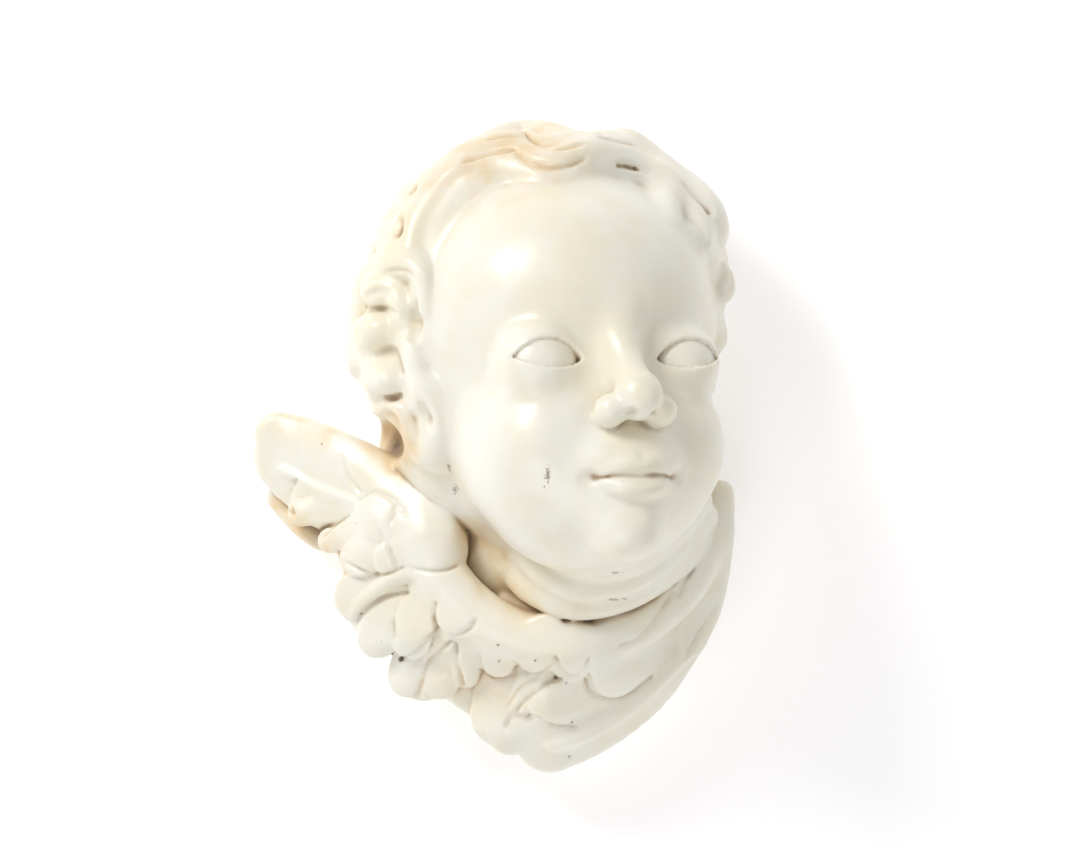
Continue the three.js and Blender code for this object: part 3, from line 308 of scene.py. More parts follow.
# the crease over the upper lid, from the eye's middle outwards
LID_CREASE = [(-12, -66.5, 4.5, 0.4), (-5, -69.5, 8.5, 0.8), (4, -69, 8.5, 0.8), (12, -62.5, 4, 0.4)]
FACE_FEATURES = [
    # nose: ridge, tip, wings, nostrils and the furrows beside and under them
    (Clay.add, "middle", [([(0, -61, 18, 4.5), (0, -64.5, 8, 5.2), (0, -69, -4, 5.4),
                            (0, -74, -13, 6.4)], 8), ([(0, -76, -16.8, 7.6, 7.6, 7.6)], 4.5)]),
    (Clay.add, "sides", [([(8.8, -71, -20, 5.6, 6.5, 5.4)], 2.5)]),
    (Clay.cut, "sides", [([(4.4, -78.2, -23.6, 2.5, 3.4, 2.6)], 1.4),
                         ([(15.5, -69, -16, 1.2), (15.5, -68, -22, 1.2)], 3)]),
    (Clay.cut, "middle", [([(0, -74.5, -27, 1.6), (0, -75, -33.5, 1.8)], 2.5)]),
    # lips, the slit between them, its corners, and the furrow over the chin
    (Clay.add, "arch", [([(0, -71.4, -38.4, 2.5), (3, -71.2, -37.6, 2.7), (7.6, -68.8, -38.8, 2.4),
                          (13, -64, -41.2, 1.2)], 2.8, 3),
                        ([(0, -69.6, -46, 3.5), (5.6, -68.6, -45.2, 3.1), (11, -64.5, -43, 1.4)],
                         2.8)]),
    (Clay.cut, "arch", [([(0, -73.6, -42.2, 1.4), (7.6, -71.2, -41.6, 1.1), (14, -66, -41.6, 0.7)],
                         1.4)]),
    (Clay.cut, "sides", [([(16.2, -66, -41.5, 2, 2, 2)], 4)]),
    (Clay.cut, "arch", [([(0, -74, -51.6, 2), (8, -72.5, -51, 1.6)], 4)]),
]

head = Pose(HEAD_ORIGIN, HEAD_TURN, HEAD_TIP, HEAD_SCALE)


def almond(centre_x, tilt):
    """The opening between the lids, seen from the front."""
    big_up = (EYE_HALF ** 2 + EYE_UP ** 2) / (2 * EYE_UP)
    big_down = (EYE_HALF ** 2 + EYE_DOWN ** 2) / (2 * EYE_DOWN)

    def distance(x, y, z):
        dx = x - centre_x
        dz = z - tilt * dx
        top = np.sqrt(dx * dx + (dz + big_up - EYE_UP) ** 2) - big_up
        bottom = np.sqrt(dx * dx + (dz - big_down + EYE_DOWN) ** 2) - big_down
        return np.maximum(np.maximum(top, bottom), y - EYE_Y)

    low = (centre_x - EYE_HALF, EYE_Y - LID_R - 4, -EYE_DOWN - 2)
    high = (centre_x + EYE_HALF, EYE_Y, EYE_UP + 2)
    return low, high, distance


def on_side(row, side):
    """The row as it is on the viewer's right, or mirrored to the left where side is -1."""
    return (side * row[0],) + row[1:]


def shape_face(clay, groups):
    for action, layout, parts in groups:
        for side in (-1, 1) if layout == "sides" else (1,):
            for rows, blend, *steps in parts:
                if layout == "arch":
                    rows = [on_side(row, -1) for row in rows[:0:-1]] + rows
                rows = [on_side(row, side) for row in rows]
                egg_row = rows[0]
                shape = rope(rows, *steps) if len(rows) > 1 else egg(egg_row[:3], egg_row[3:])
                action(clay, head.place(shape), blend)


def make_face(clay):
    shape_face(clay, FACE_FORMS)
    for side in (-1, 1):
        x = side * EYE_X
        crease = [(x + side * out, y, z, radius) for out, y, z, radius in LID_CREASE]
        clay.add(head.place(ball((x, EYE_Y, 0), LID_R)), 6.0)
        clay.cut(head.place(almond(x, side * EYE_TILT)), 0.8)
        clay.add(head.place(ball((x, EYE_Y, 0), EYEBALL_R)), 0.3)
        clay.cut(head.place(rope(crease)), 2.4)
    shape_face(clay, FACE_FEATURES)


# Hair
HAIR_RADII = (62.5, 73, 72)
BARE_CENTRE = (13.5, 29)
BARE_RADII = (54, 65)
BARE_REACH = 55
# the opening starts at this depth, and further back by this slope below this height
BARE_DEPTH = -50
BARE_SLOPE = 0.8
BARE_HEIGHT = 45
BARE_BLEND = 9


def scalp(x, z, lift):
    """The point over (x, z) that lies lift in front of the plain hair, or beside its rim."""
    p = np.array(head.into(x, 0.0, z))
    q = np.array(head.into(x, 1.0, z))
    start = (p - CRANIUM_CENTRE) / HAIR_RADII
    step = (q - p) / HAIR_RADII
    a, b, c = step @ step, start @ step, start @ start
    root = b * b - a * (c - 1.0)
    y = (-b - sqrt(root)) / a if root > 0 else -b / a
    return (x, float(y) - lift, z)


def hair_cap():
    """The plain hair: a shell round the skull, open at the face."""
    low, high, skull = head.place(egg(CRANIUM_CENTRE, HAIR_RADII))

    def distance(x, y, z):
        u = np.abs((x - BARE_CENTRE[0]) / BARE_RADII[0])
        w = np.abs((z - BARE_CENTRE[1]) / BARE_RADII[1])
        window = ((u ** 3 + w ** 3) ** (1 / 3.0) - 1.0) * BARE_REACH
        depth = BARE_DEPTH + np.maximum(BARE_HEIGHT - z, 0.0) * BARE_SLOPE
        bare = np.maximum(window, y - depth)
        return smooth_max(skull(x, y, z), -bare, BARE_BLEND)

    return low, high, distance


CURL_POINTS = 9
CURL_TURNS = 1.2
CURL_WINDING = 0.8
CURL_RISE = 2.5


def curl(centre, facing, size, thickness, start, hand):
    """A lock that winds in to its tip, in a plane square to the way it faces."""
    facing = np.array(facing) / np.linalg.norm(facing)
    across = np.cross((0, 0, 1) if abs(facing[2]) < 0.9 else (0, -1, 0), facing)
    across = across / np.linalg.norm(across)
    up = np.cross(facing, across)
    count = int(CURL_TURNS * CURL_POINTS) + 3
    rows = []
    for step in range(count + 1):
        share = step / count
        angle = radians(start + hand * 360 * CURL_TURNS * share)
        reach = size * (1 - CURL_WINDING * share)
        place = centre + reach * (cos(angle) * across + sin(angle) * up) + CURL_RISE * share * facing
        rows.append(place.tolist() + [thickness * (0.7 + 0.3 * sin(pi * min(1.0, 0.15 + share)))])
    return rope(rows, 1)


# locks over the hair: rows of (x, z, lift, radius)
LOCK_BLEND = 2.2
LOCKS = [
    # crown
    [(-26, 98, 0, 4), (-18, 103.4, 0, 5.4), (-10.5, 107.4, 0, 6), (-2, 108.6, 0, 5.4),
     (5.5, 107, 0, 5), (13, 104, -1, 4)],
    [(-26, 95, -1, 5.5), (-15, 99.8, 0, 5.6), (-7, 101.6, 1, 4.4)],
    [(-4.5, 106, -0.5, 3.6), (-2.4, 103, 0.5, 4.2), (3.6, 101.2, 1, 4.6), (12, 102.3, 1, 4.6),
     (21, 104.4, -1, 4)],
    [(-7, 101, 0, 3), (-3.6, 97.8, 0.6, 4), (2.9, 95.8, 0.8, 4.4), (9, 96, 0.8, 4.6),
     (16, 98.6, 0.6, 4.6), (24, 102, -1, 4)],
    [(24, 103.4, -1, 3.6), (28.6, 104.6, 0, 5.6), (33.2, 104.2, 0, 5.6), (37.6, 100, -1, 4.6)],
    # broad arched lock
    [(15, 100.5, -3, 6), (24, 101, -2, 8), (33, 99.6, -1, 8.4), (39.4, 95.6, -1, 7.4), (43, 90, -2, 5)],
]

# low locks that fade into the forehead, and the soft fold in front of the ear
SOFT_LOCKS = [
    [(-12, 96, -3.4, 3.4), (-4, 92.8, -3.4, 3.8), (4, 91.8, -3.4, 4), (12, 93.4, -3.2, 4),
     (20, 97, -2, 3.4)],
    [(-13, 95.4, -9, 11), (-24, 89.4, -10.5, 13), (-32.4, 81.6, -11, 13), (-39, 72.4, -11, 13),
     (-43.4, 62, -10, 10)],
    [(10, 98, -4, 6), (20, 97.6, -4, 7.4), (30, 95.6, -4, 7.4), (38, 91, -4, 6)],
    [(36, 97, -1, 5), (41, 92.6, 0, 5), (44, 87, 0.5, 4.4), (45.4, 81, 0, 3.6), (46, 75, -2, 2)],
    [(51.6, 84, -2, 5), (53, 77, -2, 5.4), (54, 69, -3, 5)],
    [(-39, 14, -3.4, 2.8), (-37, 7, -3.2, 3), (-36.6, -1, -3, 3.2), (-37.8, -8, -2, 3.6)],
]
SOFT_BLEND = 8

# locks on the sides of the head, deeper from front to back than they are wide
DEEP_LOCKS = [
    # right side
    [(36, 99.5, -2, 5.5), (45.1, 94.4, -2, 6), (53, 88.6, -1, 6), (59.4, 82.2, 0, 5.8),
     (62.6, 76, 0, 5.6), (63.2, 70, 0, 4.6), (61.6, 65, 0, 3.4)],
    [(43, 92, -1, 6.4), (50, 86, -1, 7), (54.6, 79, -1, 7), (57.4, 72, -1, 6.4), (59, 65, -1, 5)],
    # left ring with two shallow hollows
    [(-27, 90, -1, 5.4), (-37, 89.6, 0, 5.4), (-44, 87, 0, 5.4), (-49.2, 81.8, 0, 5.4),
     (-52.4, 75.8, 0, 5.2), (-53.6, 68.8, 0, 5), (-54, 61, 0, 5)],
    [(-35, 88, 0, 5), (-39, 82, 0.5, 4.8), (-43, 75.4, 0.5, 4.6), (-45.6, 66, 0.5, 4.6)],
    [(-51, 79.4, 0, 3.6), (-43, 81.4, 0, 3.8)],
    # great curl: its roll, and the tongue that it winds in to
    [(-63.4, 40.5, -1, 4.4), (-63.2, 46, 0, 5.4), (-61, 53, 0.5, 6.2), (-55, 58, 1, 6.8),
     (-48, 59.6, 1, 6.6), (-42.4, 56.6, 0, 5.6), (-40.4, 50, -1, 4.4), (-40.4, 43, -2, 3.4)],
    [(-56, 52, -1, 4.4), (-51.4, 49.4, 0, 5), (-49.4, 44.6, 0, 4.4), (-48.8, 39, -1.5, 2.6)],
    # hair behind the curls
    [(-63, 40, -2, 4), (-63.6, 34, -1.5, 3.8), (-62, 27, -1.5, 3.6), (-59.6, 20.5, -1.5, 3.6),
     (-57.4, 14, -2, 3.8), (-56.4, 7, -3, 3.6)],
    # soft mass between the curls and the face
    [(-45.6, 31, -2, 4), (-43.8, 24, -1.5, 4.6), (-43, 16, -1.5, 4.4), (-44, 9.6, -1.5, 3.4)],
    # narrow lock over the hollow behind the ear
    [(-58.6, 5.6, -1.5, 2), (-55.4, 9.2, -0.5, 2.6), (-51.4, 9.6, 0, 2.8), (-48, 6.6, 0, 2.8),
     (-46.2, 1.6, 0, 2.8), (-45.4, -4, 0.5, 3), (-43, -9, 0.5, 3.2)],
]
DEEP_SHARE = 2
DEEP_SINK = 0.8
DEEP_BLEND = 1.6

# round masses of the curls: place, lift, and radii across, out and up
BULB_BLEND = 4
BULBS = [
    ((-53, 50.5, -5), (11, 12, 8.5)), ((-56.6, 36.4, -4), (8.8, 13, 7.2)),
    ((-59.6, 34, -4), (6.4, 11, 8.4)), ((-53.6, 18.6, -4), (7.2, 12, 6)),
    ((-57, 20, -5), (6.4, 11, 8.4)),
]

# the ear on the far side, in the head's own frame
FAR_EAR = [(55, -2, -16, 3.4), (57.5, -7, -12, 3), (56.5, -8, -5, 2.2), (55.5, -6, 2, 2.2),
           (57.5, -2, 8, 2.4), (59.5, 4, 8, 2.6), (60.5, 8, 2, 2.6), (59.5, 8, -6, 2.4),
           (57, 4, -13, 2.2)]

# the lobe of the near ear
LOBE = [(-41, -52, -6, 5), (-35, -56, -13, 6.8), (-30, -58, -20, 5.8)]
# the outline behind it, the hair there, and the rough hollow over the wing
EAR_FORMS = [
    (Clay.cut, (-75, -20, 2), (17, 60, 20), 2),
    (Clay.add, (-49, -16, -2), (9, 14, 14), 4),
    (Clay.cut, (-62, -52, -3.5), (15.5, 25, 9.5), 2),
]

# the thicker hair, the smooth swelling over the far temple, and the curl below it
HAIR_MASSES = [
    ((20, -30, 60), (45, 34, 46), 5),
    ((55, -42, 70), (10.5, 13, 17), 8),
    ((58, -30, 53), (8.5, 16, 9), 4),
]
TEMPLE_CURL = (64, -41, 53)
TEMPLE_FACING = (0.8, -0.6, 0)
TEMPLE_SIZE = 5.2
TEMPLE_RADIUS = 4.2

# hollows between the locks: rows of (x, z, lift, radius)
HOLE_BLEND = 1.6
HOLES = [
    [(52, 89, 0.6, 0.8), (57, 83.6, 0.3, 1.2), (61, 79.6, 0, 1.8)],
    [(-45.4, 86.2, 0, 2.4), (-44.8, 85.6, -2, 1.8)],
    [(-50, 75, 0, 2.2), (-50.4, 71, 0, 2.6)],
    # beside the tongue of the great curl, and under its roll
    [(-43.8, 45, 0, 1.4), (-43.6, 39, -1.5, 3), (-44.2, 33.6, 0, 2)],
    [(-61.4, 48.2, 0.4, 0.8), (-57.6, 49.6, 0, 1.4), (-53.6, 49.4, 0.2, 0.8)],
    [(-64.4, 41.6, 0.4, 0.8), (-60.4, 43.6, 0, 1.1), (-55.6, 43.6, 0, 1.2), (-51.6, 41.6, 0, 1.2)],
    [(-65.6, 37, 0.2, 1), (-64.6, 33.6, 0.2, 1)],
    # under the two lower bulbs
    [(-58.6, 27, 0.4, 1), (-54.6, 28.6, 0, 2.2), (-51, 27.2, -0.4, 2.2), (-48.8, 22, 0, 1.3)],
    [(-58, 12.6, 0.4, 0.8), (-53.4, 11.8, 0, 1.3), (-49.4, 13, 0.3, 0.8)],
    # ear
    [(-41.4, 9, 0.2, 1.4), (-40, 4.4, -0.4, 2.6), (-39.2, 0.6, 0.2, 1.6)],
]

# fine grooves between the locks: places as (x, z), and radius
HAIR_LINE_SINK = 0.2
HAIR_LINES = [
    ([(-5.4, 107.6), (-3.2, 104), (1.3, 100.8), (5.6, 99.8), (10, 100.4), (16, 102.4)], 0.9),
    ([(-8.6, 100), (-5, 95.6), (0.3, 93.4), (5.6, 92.8), (11.4, 94), (17, 97.2)], 1),
    ([(-19, 104), (-13, 105), (-6, 105.2)], 0.8),
    ([(-27, 95.5), (-18, 98.6), (-9, 99.6)], 0.9),
    ([(21, 104.6), (28, 103.6), (35, 103)], 0.8),
    ([(27.4, 94.8), (31, 94.8), (35, 94)], 1.4),
    ([(34, 94.2), (37, 93.4), (39.4, 92.4)], 0.7),
    ([(20.6, 106), (23, 106.6)], 1),
    ([(-59, 54), (-54, 56.6), (-47, 56.4), (-43.6, 53)], 0.7),
]

# plainer locks that run back to the wall: the way round the head in degrees, from the viewer's right
SIDE_LOCKS = 17
SIDE_FROM = -23.4
SIDE_TO = 188
SIDE_RADIUS = 6.2
SIDE_TIP_RADIUS = 2.5
SIDE_SINK = 3.6
SIDE_BLEND = 1.6
SIDE_POINTS = 6
SIDE_END = 4
# their sway in degrees, its step from point to point, and its shift from lock to lock
SIDE_WAVE = 4.5
SIDE_SWAY = 1.9
SIDE_SHIFT = 2.1
# the depth of their front ends where the way round is over each limit
SIDE_STARTS = [(40, -60), (0, -42), (-90, -27)]
SIDE_MIDDLE = (-0.7, 32)
SIDE_NEAR = 40
SIDE_FAR = 100
SIDE_STEP = 0.25
RIM_Y = -36
# curls between their front ends
SIDE_CURL_SIZE = 6.4
SIDE_CURL_RADIUS = 4.4
SIDE_CURL_SINK = 3.2
SIDE_CURL_TWIST = 50
# their depth above the ear, how much deeper each second one lies, and their depth below
SIDE_CURL_Y = -27
SIDE_CURL_DEEPER = 11
SIDE_CURL_LOW_Y = -19


def side_point(clay, degrees, y, sink):
    """The point at depth y on the clay's surface, sink below it, that way round the head."""
    ux, uz = cos(radians(degrees)), sin(radians(degrees))
    reaches = np.arange(SIDE_NEAR, SIDE_FAR, SIDE_STEP)
    places = [(SIDE_MIDDLE[0] + ux * reach, y, SIDE_MIDDLE[1] + uz * reach) for reach in reaches]
    outside = clay.sample(clay.field, np.array(places)) >= 0
    reach = float(reaches[np.argmax(outside)]) - sink
    return (SIDE_MIDDLE[0] + ux * reach, y, SIDE_MIDDLE[1] + uz * reach)


def side_lock(clay, degrees, number):
    """A wavy lock on the side of the head, from the curl at its front end back to the wall."""
    rows = []
    first = next(y for limit, y in SIDE_STARTS if degrees > limit)
    for step in range(SIDE_POINTS):
        y = first + step * (SIDE_END - first) / (SIDE_POINTS - 1)
        turn = degrees + SIDE_WAVE * sin(step * SIDE_SWAY + number * SIDE_SHIFT)
        r = SIDE_RADIUS if step else SIDE_TIP_RADIUS
        rows.append(side_point(clay, turn, y, SIDE_SINK) + (r,))
    return rope(rows)


def deep_rope(rows):
    """A rope that is DEEP_SHARE times as deep from front to back as it is wide."""
    low, high, thin = rope([(x, y / DEEP_SHARE, z, r) for x, y, z, r in rows])

    def distance(x, y, z):
        return thin(x, y / DEEP_SHARE, z)

    return (low[0], low[1] * DEEP_SHARE, low[2]), (high[0], high[1] * DEEP_SHARE, high[2]), distance


def lay(clay, x, z, lift):
    """The point over (x, z) that lies lift in front of the hair, or beside its rim."""
    return (x, min(front_of(clay, x, z), RIM_Y) - lift, z)


def make_hair(clay):
    clay.add(hair_cap(), 5.0)
    for centre, radii, blend in HAIR_MASSES:
        clay.add(egg(centre, radii), blend)
    shapes = []
    for number in range(SIDE_LOCKS):
        degrees = SIDE_FROM + (SIDE_TO - SIDE_FROM) * number / (SIDE_LOCKS - 1)
        shapes.append((side_lock(clay, degrees, number), SIDE_BLEND))
    for number in range(SIDE_LOCKS - 1):
        degrees = SIDE_FROM + (SIDE_TO - SIDE_FROM) * (number + 0.5) / (SIDE_LOCKS - 1)
        y = SIDE_CURL_Y - SIDE_CURL_DEEPER * (number % 2) if degrees > 0 else SIDE_CURL_LOW_Y
        centre = side_point(clay, degrees, y, SIDE_CURL_SINK)
        facing = (cos(radians(degrees)), -0.15, sin(radians(degrees)))
        shapes.append((curl(centre, facing, SIDE_CURL_SIZE, SIDE_CURL_RADIUS, SIDE_CURL_TWIST * number,
                            1 - 2 * (number % 2)), 0.8))
    for (x, z, lift), radii in BULBS:
        shapes.append((egg(lay(clay, x, z, lift), radii), BULB_BLEND))
    for row in DEEP_LOCKS:
        rows = [lay(clay, x, z, lift - (DEEP_SHARE - 1) * DEEP_SINK * r) + (r,)
                for x, z, lift, r in row]
        shapes.append((deep_rope(rows), DEEP_BLEND))
    shapes.append((curl(TEMPLE_CURL, TEMPLE_FACING, TEMPLE_SIZE, TEMPLE_RADIUS, 150, -1), 1.2))
    for shape, blend in shapes:
        clay.add(shape, blend)
    for locks, blend in ((LOCKS, LOCK_BLEND), (SOFT_LOCKS, SOFT_BLEND)):
        for row in locks:
            clay.add(rope([scalp(x, z, lift) + (r,) for x, z, lift, r in row]), blend)
    clay.add(head.place(rope(FAR_EAR)), 1.5)
    clay.add(rope(LOBE), 2.5)
    for action, centre, radii, blend in EAR_FORMS:
        action(clay, egg(centre, radii), blend)
    for points, radius in HAIR_LINES:
        clay.cut(draw_line(clay, points, radius, HAIR_LINE_SINK * radius), 1.0)
    hollows = [rope([lay(clay, x, z, lift) + (r,) for x, z, lift, r in row]) for row in HOLES]
    for shape in hollows:
        clay.cut(shape, HOLE_BLEND)


# Wings: the depth of their surface at places (x, z)
BED_DEPTHS = [
    (-98, 0, 24), (-97, -20, 25), (-75, -8, 36), (-80, -34, 33), (-60, -15, 47),
    (-55, -38, 50), (-40, -38, 58), (-62, -64, 38), (-48, -58, 50), (-42, -92, 35),
    (-28, -70, 55), (12, -72, 62), (0, -92, 50), (-18, -102, 33), (8, -102, 45),
    (0, -121, 24), (25, -86, 54), (36, -96, 43), (20, -108, 40), (50, -80, 44),
    (58, -52, 40), (66, -40, 30), (68, -20, 24), (44, -104, 12), (27, -117, 11),
    (70, -58, 16), (62, -82, 14),
]
BED_REACH = 11
# the sides of the feathers lean in behind a rim of this height, at this slope
RIM_HEIGHT = 8
UNDERCUT = 0.24


def bed_depth(x, z):
    total = 0.0
    weight = 0.0
    for px, pz, depth in BED_DEPTHS:
        w = np.exp(-((x - px) ** 2 + (z - pz) ** 2) / (2 * BED_REACH ** 2)) + 1e-9
        total = total + w * depth
        weight = weight + w
    return total / weight


def feather(rows, lift, camber=1.0, rise=1.5, edge=1.0):
    """A leaf-shaped slab that stands on the wall, its top following the wing's surface."""
    rows = spline(rows, 4)

    def distance(x, y, z):
        side = middle = along = None
        for number, (a, b) in enumerate(zip(rows, rows[1:])):
            ex, ez = b[0] - a[0], b[1] - a[1]
            t = ((x - a[0]) * ex + (z - a[1]) * ez) / (ex * ex + ez * ez + 1e-9)
            t = np.clip(t, 0.0, 1.0)
            off = np.sqrt((x - a[0] - ex * t) ** 2 + (z - a[1] - ez * t) ** 2)
            width = a[2] + (b[2] - a[2]) * t
            gap = off - width
            ratio = off / width
            share = (number + t) / (len(rows) - 1)
            if side is None:
                side, middle, along = gap, ratio, share
            else:
                middle = np.where(gap < side, ratio, middle)
                along = np.where(gap < side, share, along)
                side = np.minimum(side, gap)
        top = bed_depth(x, z) + lift + rise * (along * 2 - 1)
        top = top + camber * np.maximum(1.0 - middle * middle, -0.5)
        front = -y - top
        lean = UNDERCUT * np.maximum(-front - RIM_HEIGHT, 0.0)
        return smooth_max(side + lean, front, edge)

    low = (min(r[0] - r[2] for r in rows), -75.0, min(r[1] - r[2] for r in rows))
    high = (max(r[0] + r[2] for r in rows), WALL_OVERLAP, max(r[1] + r[2] for r in rows))
    return low, high, distance


# feathers: rows of (x, z, half width), lift, camber, rise to the tip, and edge
FEATHER_BLEND = 0.8
FEATHERS = [
    # bed under everything
    ([(-86, -9, 12), (-62, -28, 17), (-52, -56, 17), (-32, -78, 17), (-8, -92, 20), (10, -100, 20),
     (34, -86, 17), (56, -56, 10), (66, -30, 4)], -3, 0, 0, 5),
    # left wing, lower slab under the tip
    ([(-62, -32, 8), (-76, -36.6, 8), (-87, -31, 7.4), (-95, -24, 6)], -9, 0, 0, 1),
    ([(-45, -32, 14), (-68, -22, 18), (-84, -13, 16.5), (-90.4, -9, 15)], -0.5, 1.5, 0, 3),
    ([(-80, -8, 10), (-96.4, -1.4, 8.8)], -0.5, 0.5, 0, 3),
    ([(-60, -21, 6), (-75, -27, 6), (-87.5, -29.5, 5)], 0.8),
    ([(-58, -30, 6.5), (-69, -35.5, 5.5), (-76.5, -39.5, 4.6)], 1.2),
    # left wing, second fan
    ([(-50, -60, 9), (-60.4, -66.4, 9)], -2),
    ([(-42, -52, 10), (-56, -57, 11), (-65, -60, 10)], -1),
    ([(-48, -56, 7), (-57, -66, 7.5), (-59, -75, 7.5)], 0.2, 1.2),
    ([(-38, -54, 7), (-44, -66, 7.6), (-46.5, -75.5, 7.2)], 1.5, 1.2),
    # third fan
    ([(-38, -78, 9), (-42.6, -88, 10.4)], -2.5),
    ([(-42, -76, 8), (-47, -86, 8), (-48, -89.5, 7.6)], -1.5),
    ([(-31, -72, 6.5), (-36, -84, 7.3), (-36.5, -90, 7.6)], -0.5),
    ([(-22, -74, 5.5), (-26, -84, 5.5), (-27, -88.5, 4.8)], 0.7),
    # right wing
    ([(-10, -90, 12), (-13.4, -103.6, 12)], -2.5),
    ([(-8, -82, 7), (-14.4, -94, 9.4), (-14.8, -103, 9.2), (-11, -111, 7.6)], -1, 1, 1.5, 2.2),
    ([(2, -82, 6), (-3.4, -92, 6.2), (-7, -99, 4.6)], 0.4, 1, 1.5, 2.2),
    ([(54, -78, 6), (38, -95.5, 9), (20, -106.5, 11.5), (3.5, -112.8, 12.4)], 0, 1, 0.5, 2.5),
    ([(66, -24, 4.5), (64, -45, 6.5), (60.5, -62, 7), (55.5, -76, 6)], 1, 1, 1.5, 2),
    ([(30, -84, 8), (14, -94.6, 8.4), (3, -98, 7.6)], 1.2, 1, 2, 2.2),
    ([(50, -66, 8), (37, -81, 8.6), (27, -88, 8.4)], 2.2, 1, 2, 1),
    # small coverts
    ([(-50, -24, 9), (-59, -31, 8.5)], 2, 1, 1, 1),
    ([(-56, -40, 8), (-65.5, -45.5, 7.2)], 1.6, 1, 1, 1),
    ([(-46, -40, 8), (-53, -46, 7)], 2.4, 1, 1, 1),
    ([(-30.2, -58, 6.5), (-30.2, -66.5, 6.6)], 2.6, 1, 1, 1),
    ([(-10, -74, 6), (-15, -83, 6)], 1.5, 1, 1, 1),
    ([(12, -74, 6), (11, -84.5, 6)], 1.5, 1, 1, 1),
    ([(2, -72, 7), (-1.5, -79.5, 7)], 2.5, 1, 1, 1),
]

# the front edges of both wings, as one roll round the neck
COLLAR = [(-92, -20, -2, 5), (-75, -30, -8, 7), (-58, -37, -18, 9.5), (-44, -42, -29, 12),
          (-39, -47, -39, 13), (-36, -50, -51, 10), (-24, -51, -65, 10), (-6, -53, -74, 9.5),
          (14, -53, -76, 9.5), (32, -49, -71, 9), (47, -42, -61.5, 8.2), (58, -34, -49, 7),
          (64.5, -26, -35, 5.5), (67, -20, -22, 4)]

# raised ridges: rows of (x, z, radius), height over the wing, and blend
QUILLS = [
    ([(-95, -14, 1), (-89.5, -16.4, 1.5), (-83, -20, 1.6), (-75, -23, 1.5), (-66, -26, 1)], 1, 2.5),
    ([(-46, -51, 2.6), (-54, -53.5, 2.8), (-60, -58, 2.6), (-64.6, -61.7, 2.4),
     (-67.5, -65.5, 1.6)], 0.6, 2),
    ([(55, -79, 2), (46, -87.5, 3), (38, -94.5, 3.6), (30, -101.5, 3.8), (22, -106.6, 3.6),
     (14, -110.4, 3), (5, -114, 2)], 1, 4),
]


def front_of(clay, x, z):
    """The y of the clay's front surface over (x, z)."""
    i = int(round((x - clay.axes[0][0]) / clay.cell))
    k = int(round((z - clay.axes[2][0]) / clay.cell))
    column = clay.field[i, :, k]
    inside = np.nonzero(column < 0)[0]
    if not len(inside):
        return 0.0
    j = max(int(inside[0]), 1)
    outer, inner = float(column[j - 1]), float(column[j])
    return float(clay.axes[1][j - 1]) + clay.cell * outer / (outer - inner)


# how often a line's depths are evened out
LINE_EASING = 2


def draw_line(clay, points, radius, sink):
    """A groove that follows the surface, its middle sink below it."""
    rows = spline([(x, z, radius) for x, z in points], 3)
    depths = [front_of(clay, x, z) for x, z, _ in rows]
    for _ in range(LINE_EASING):
        before = depths[:1] + depths
        after = depths[1:] + depths[-1:]
        depths = [(a + 2 * b + c) / 4 for a, b, c in zip(before, depths, after)]
    radii = [radius * 0.6] + [radius] * (len(rows) - 2) + [radius * 0.6]
    return rope([(x, depth + sink, z, r) for (x, z, _), depth, r in zip(rows, depths, radii)], 1)


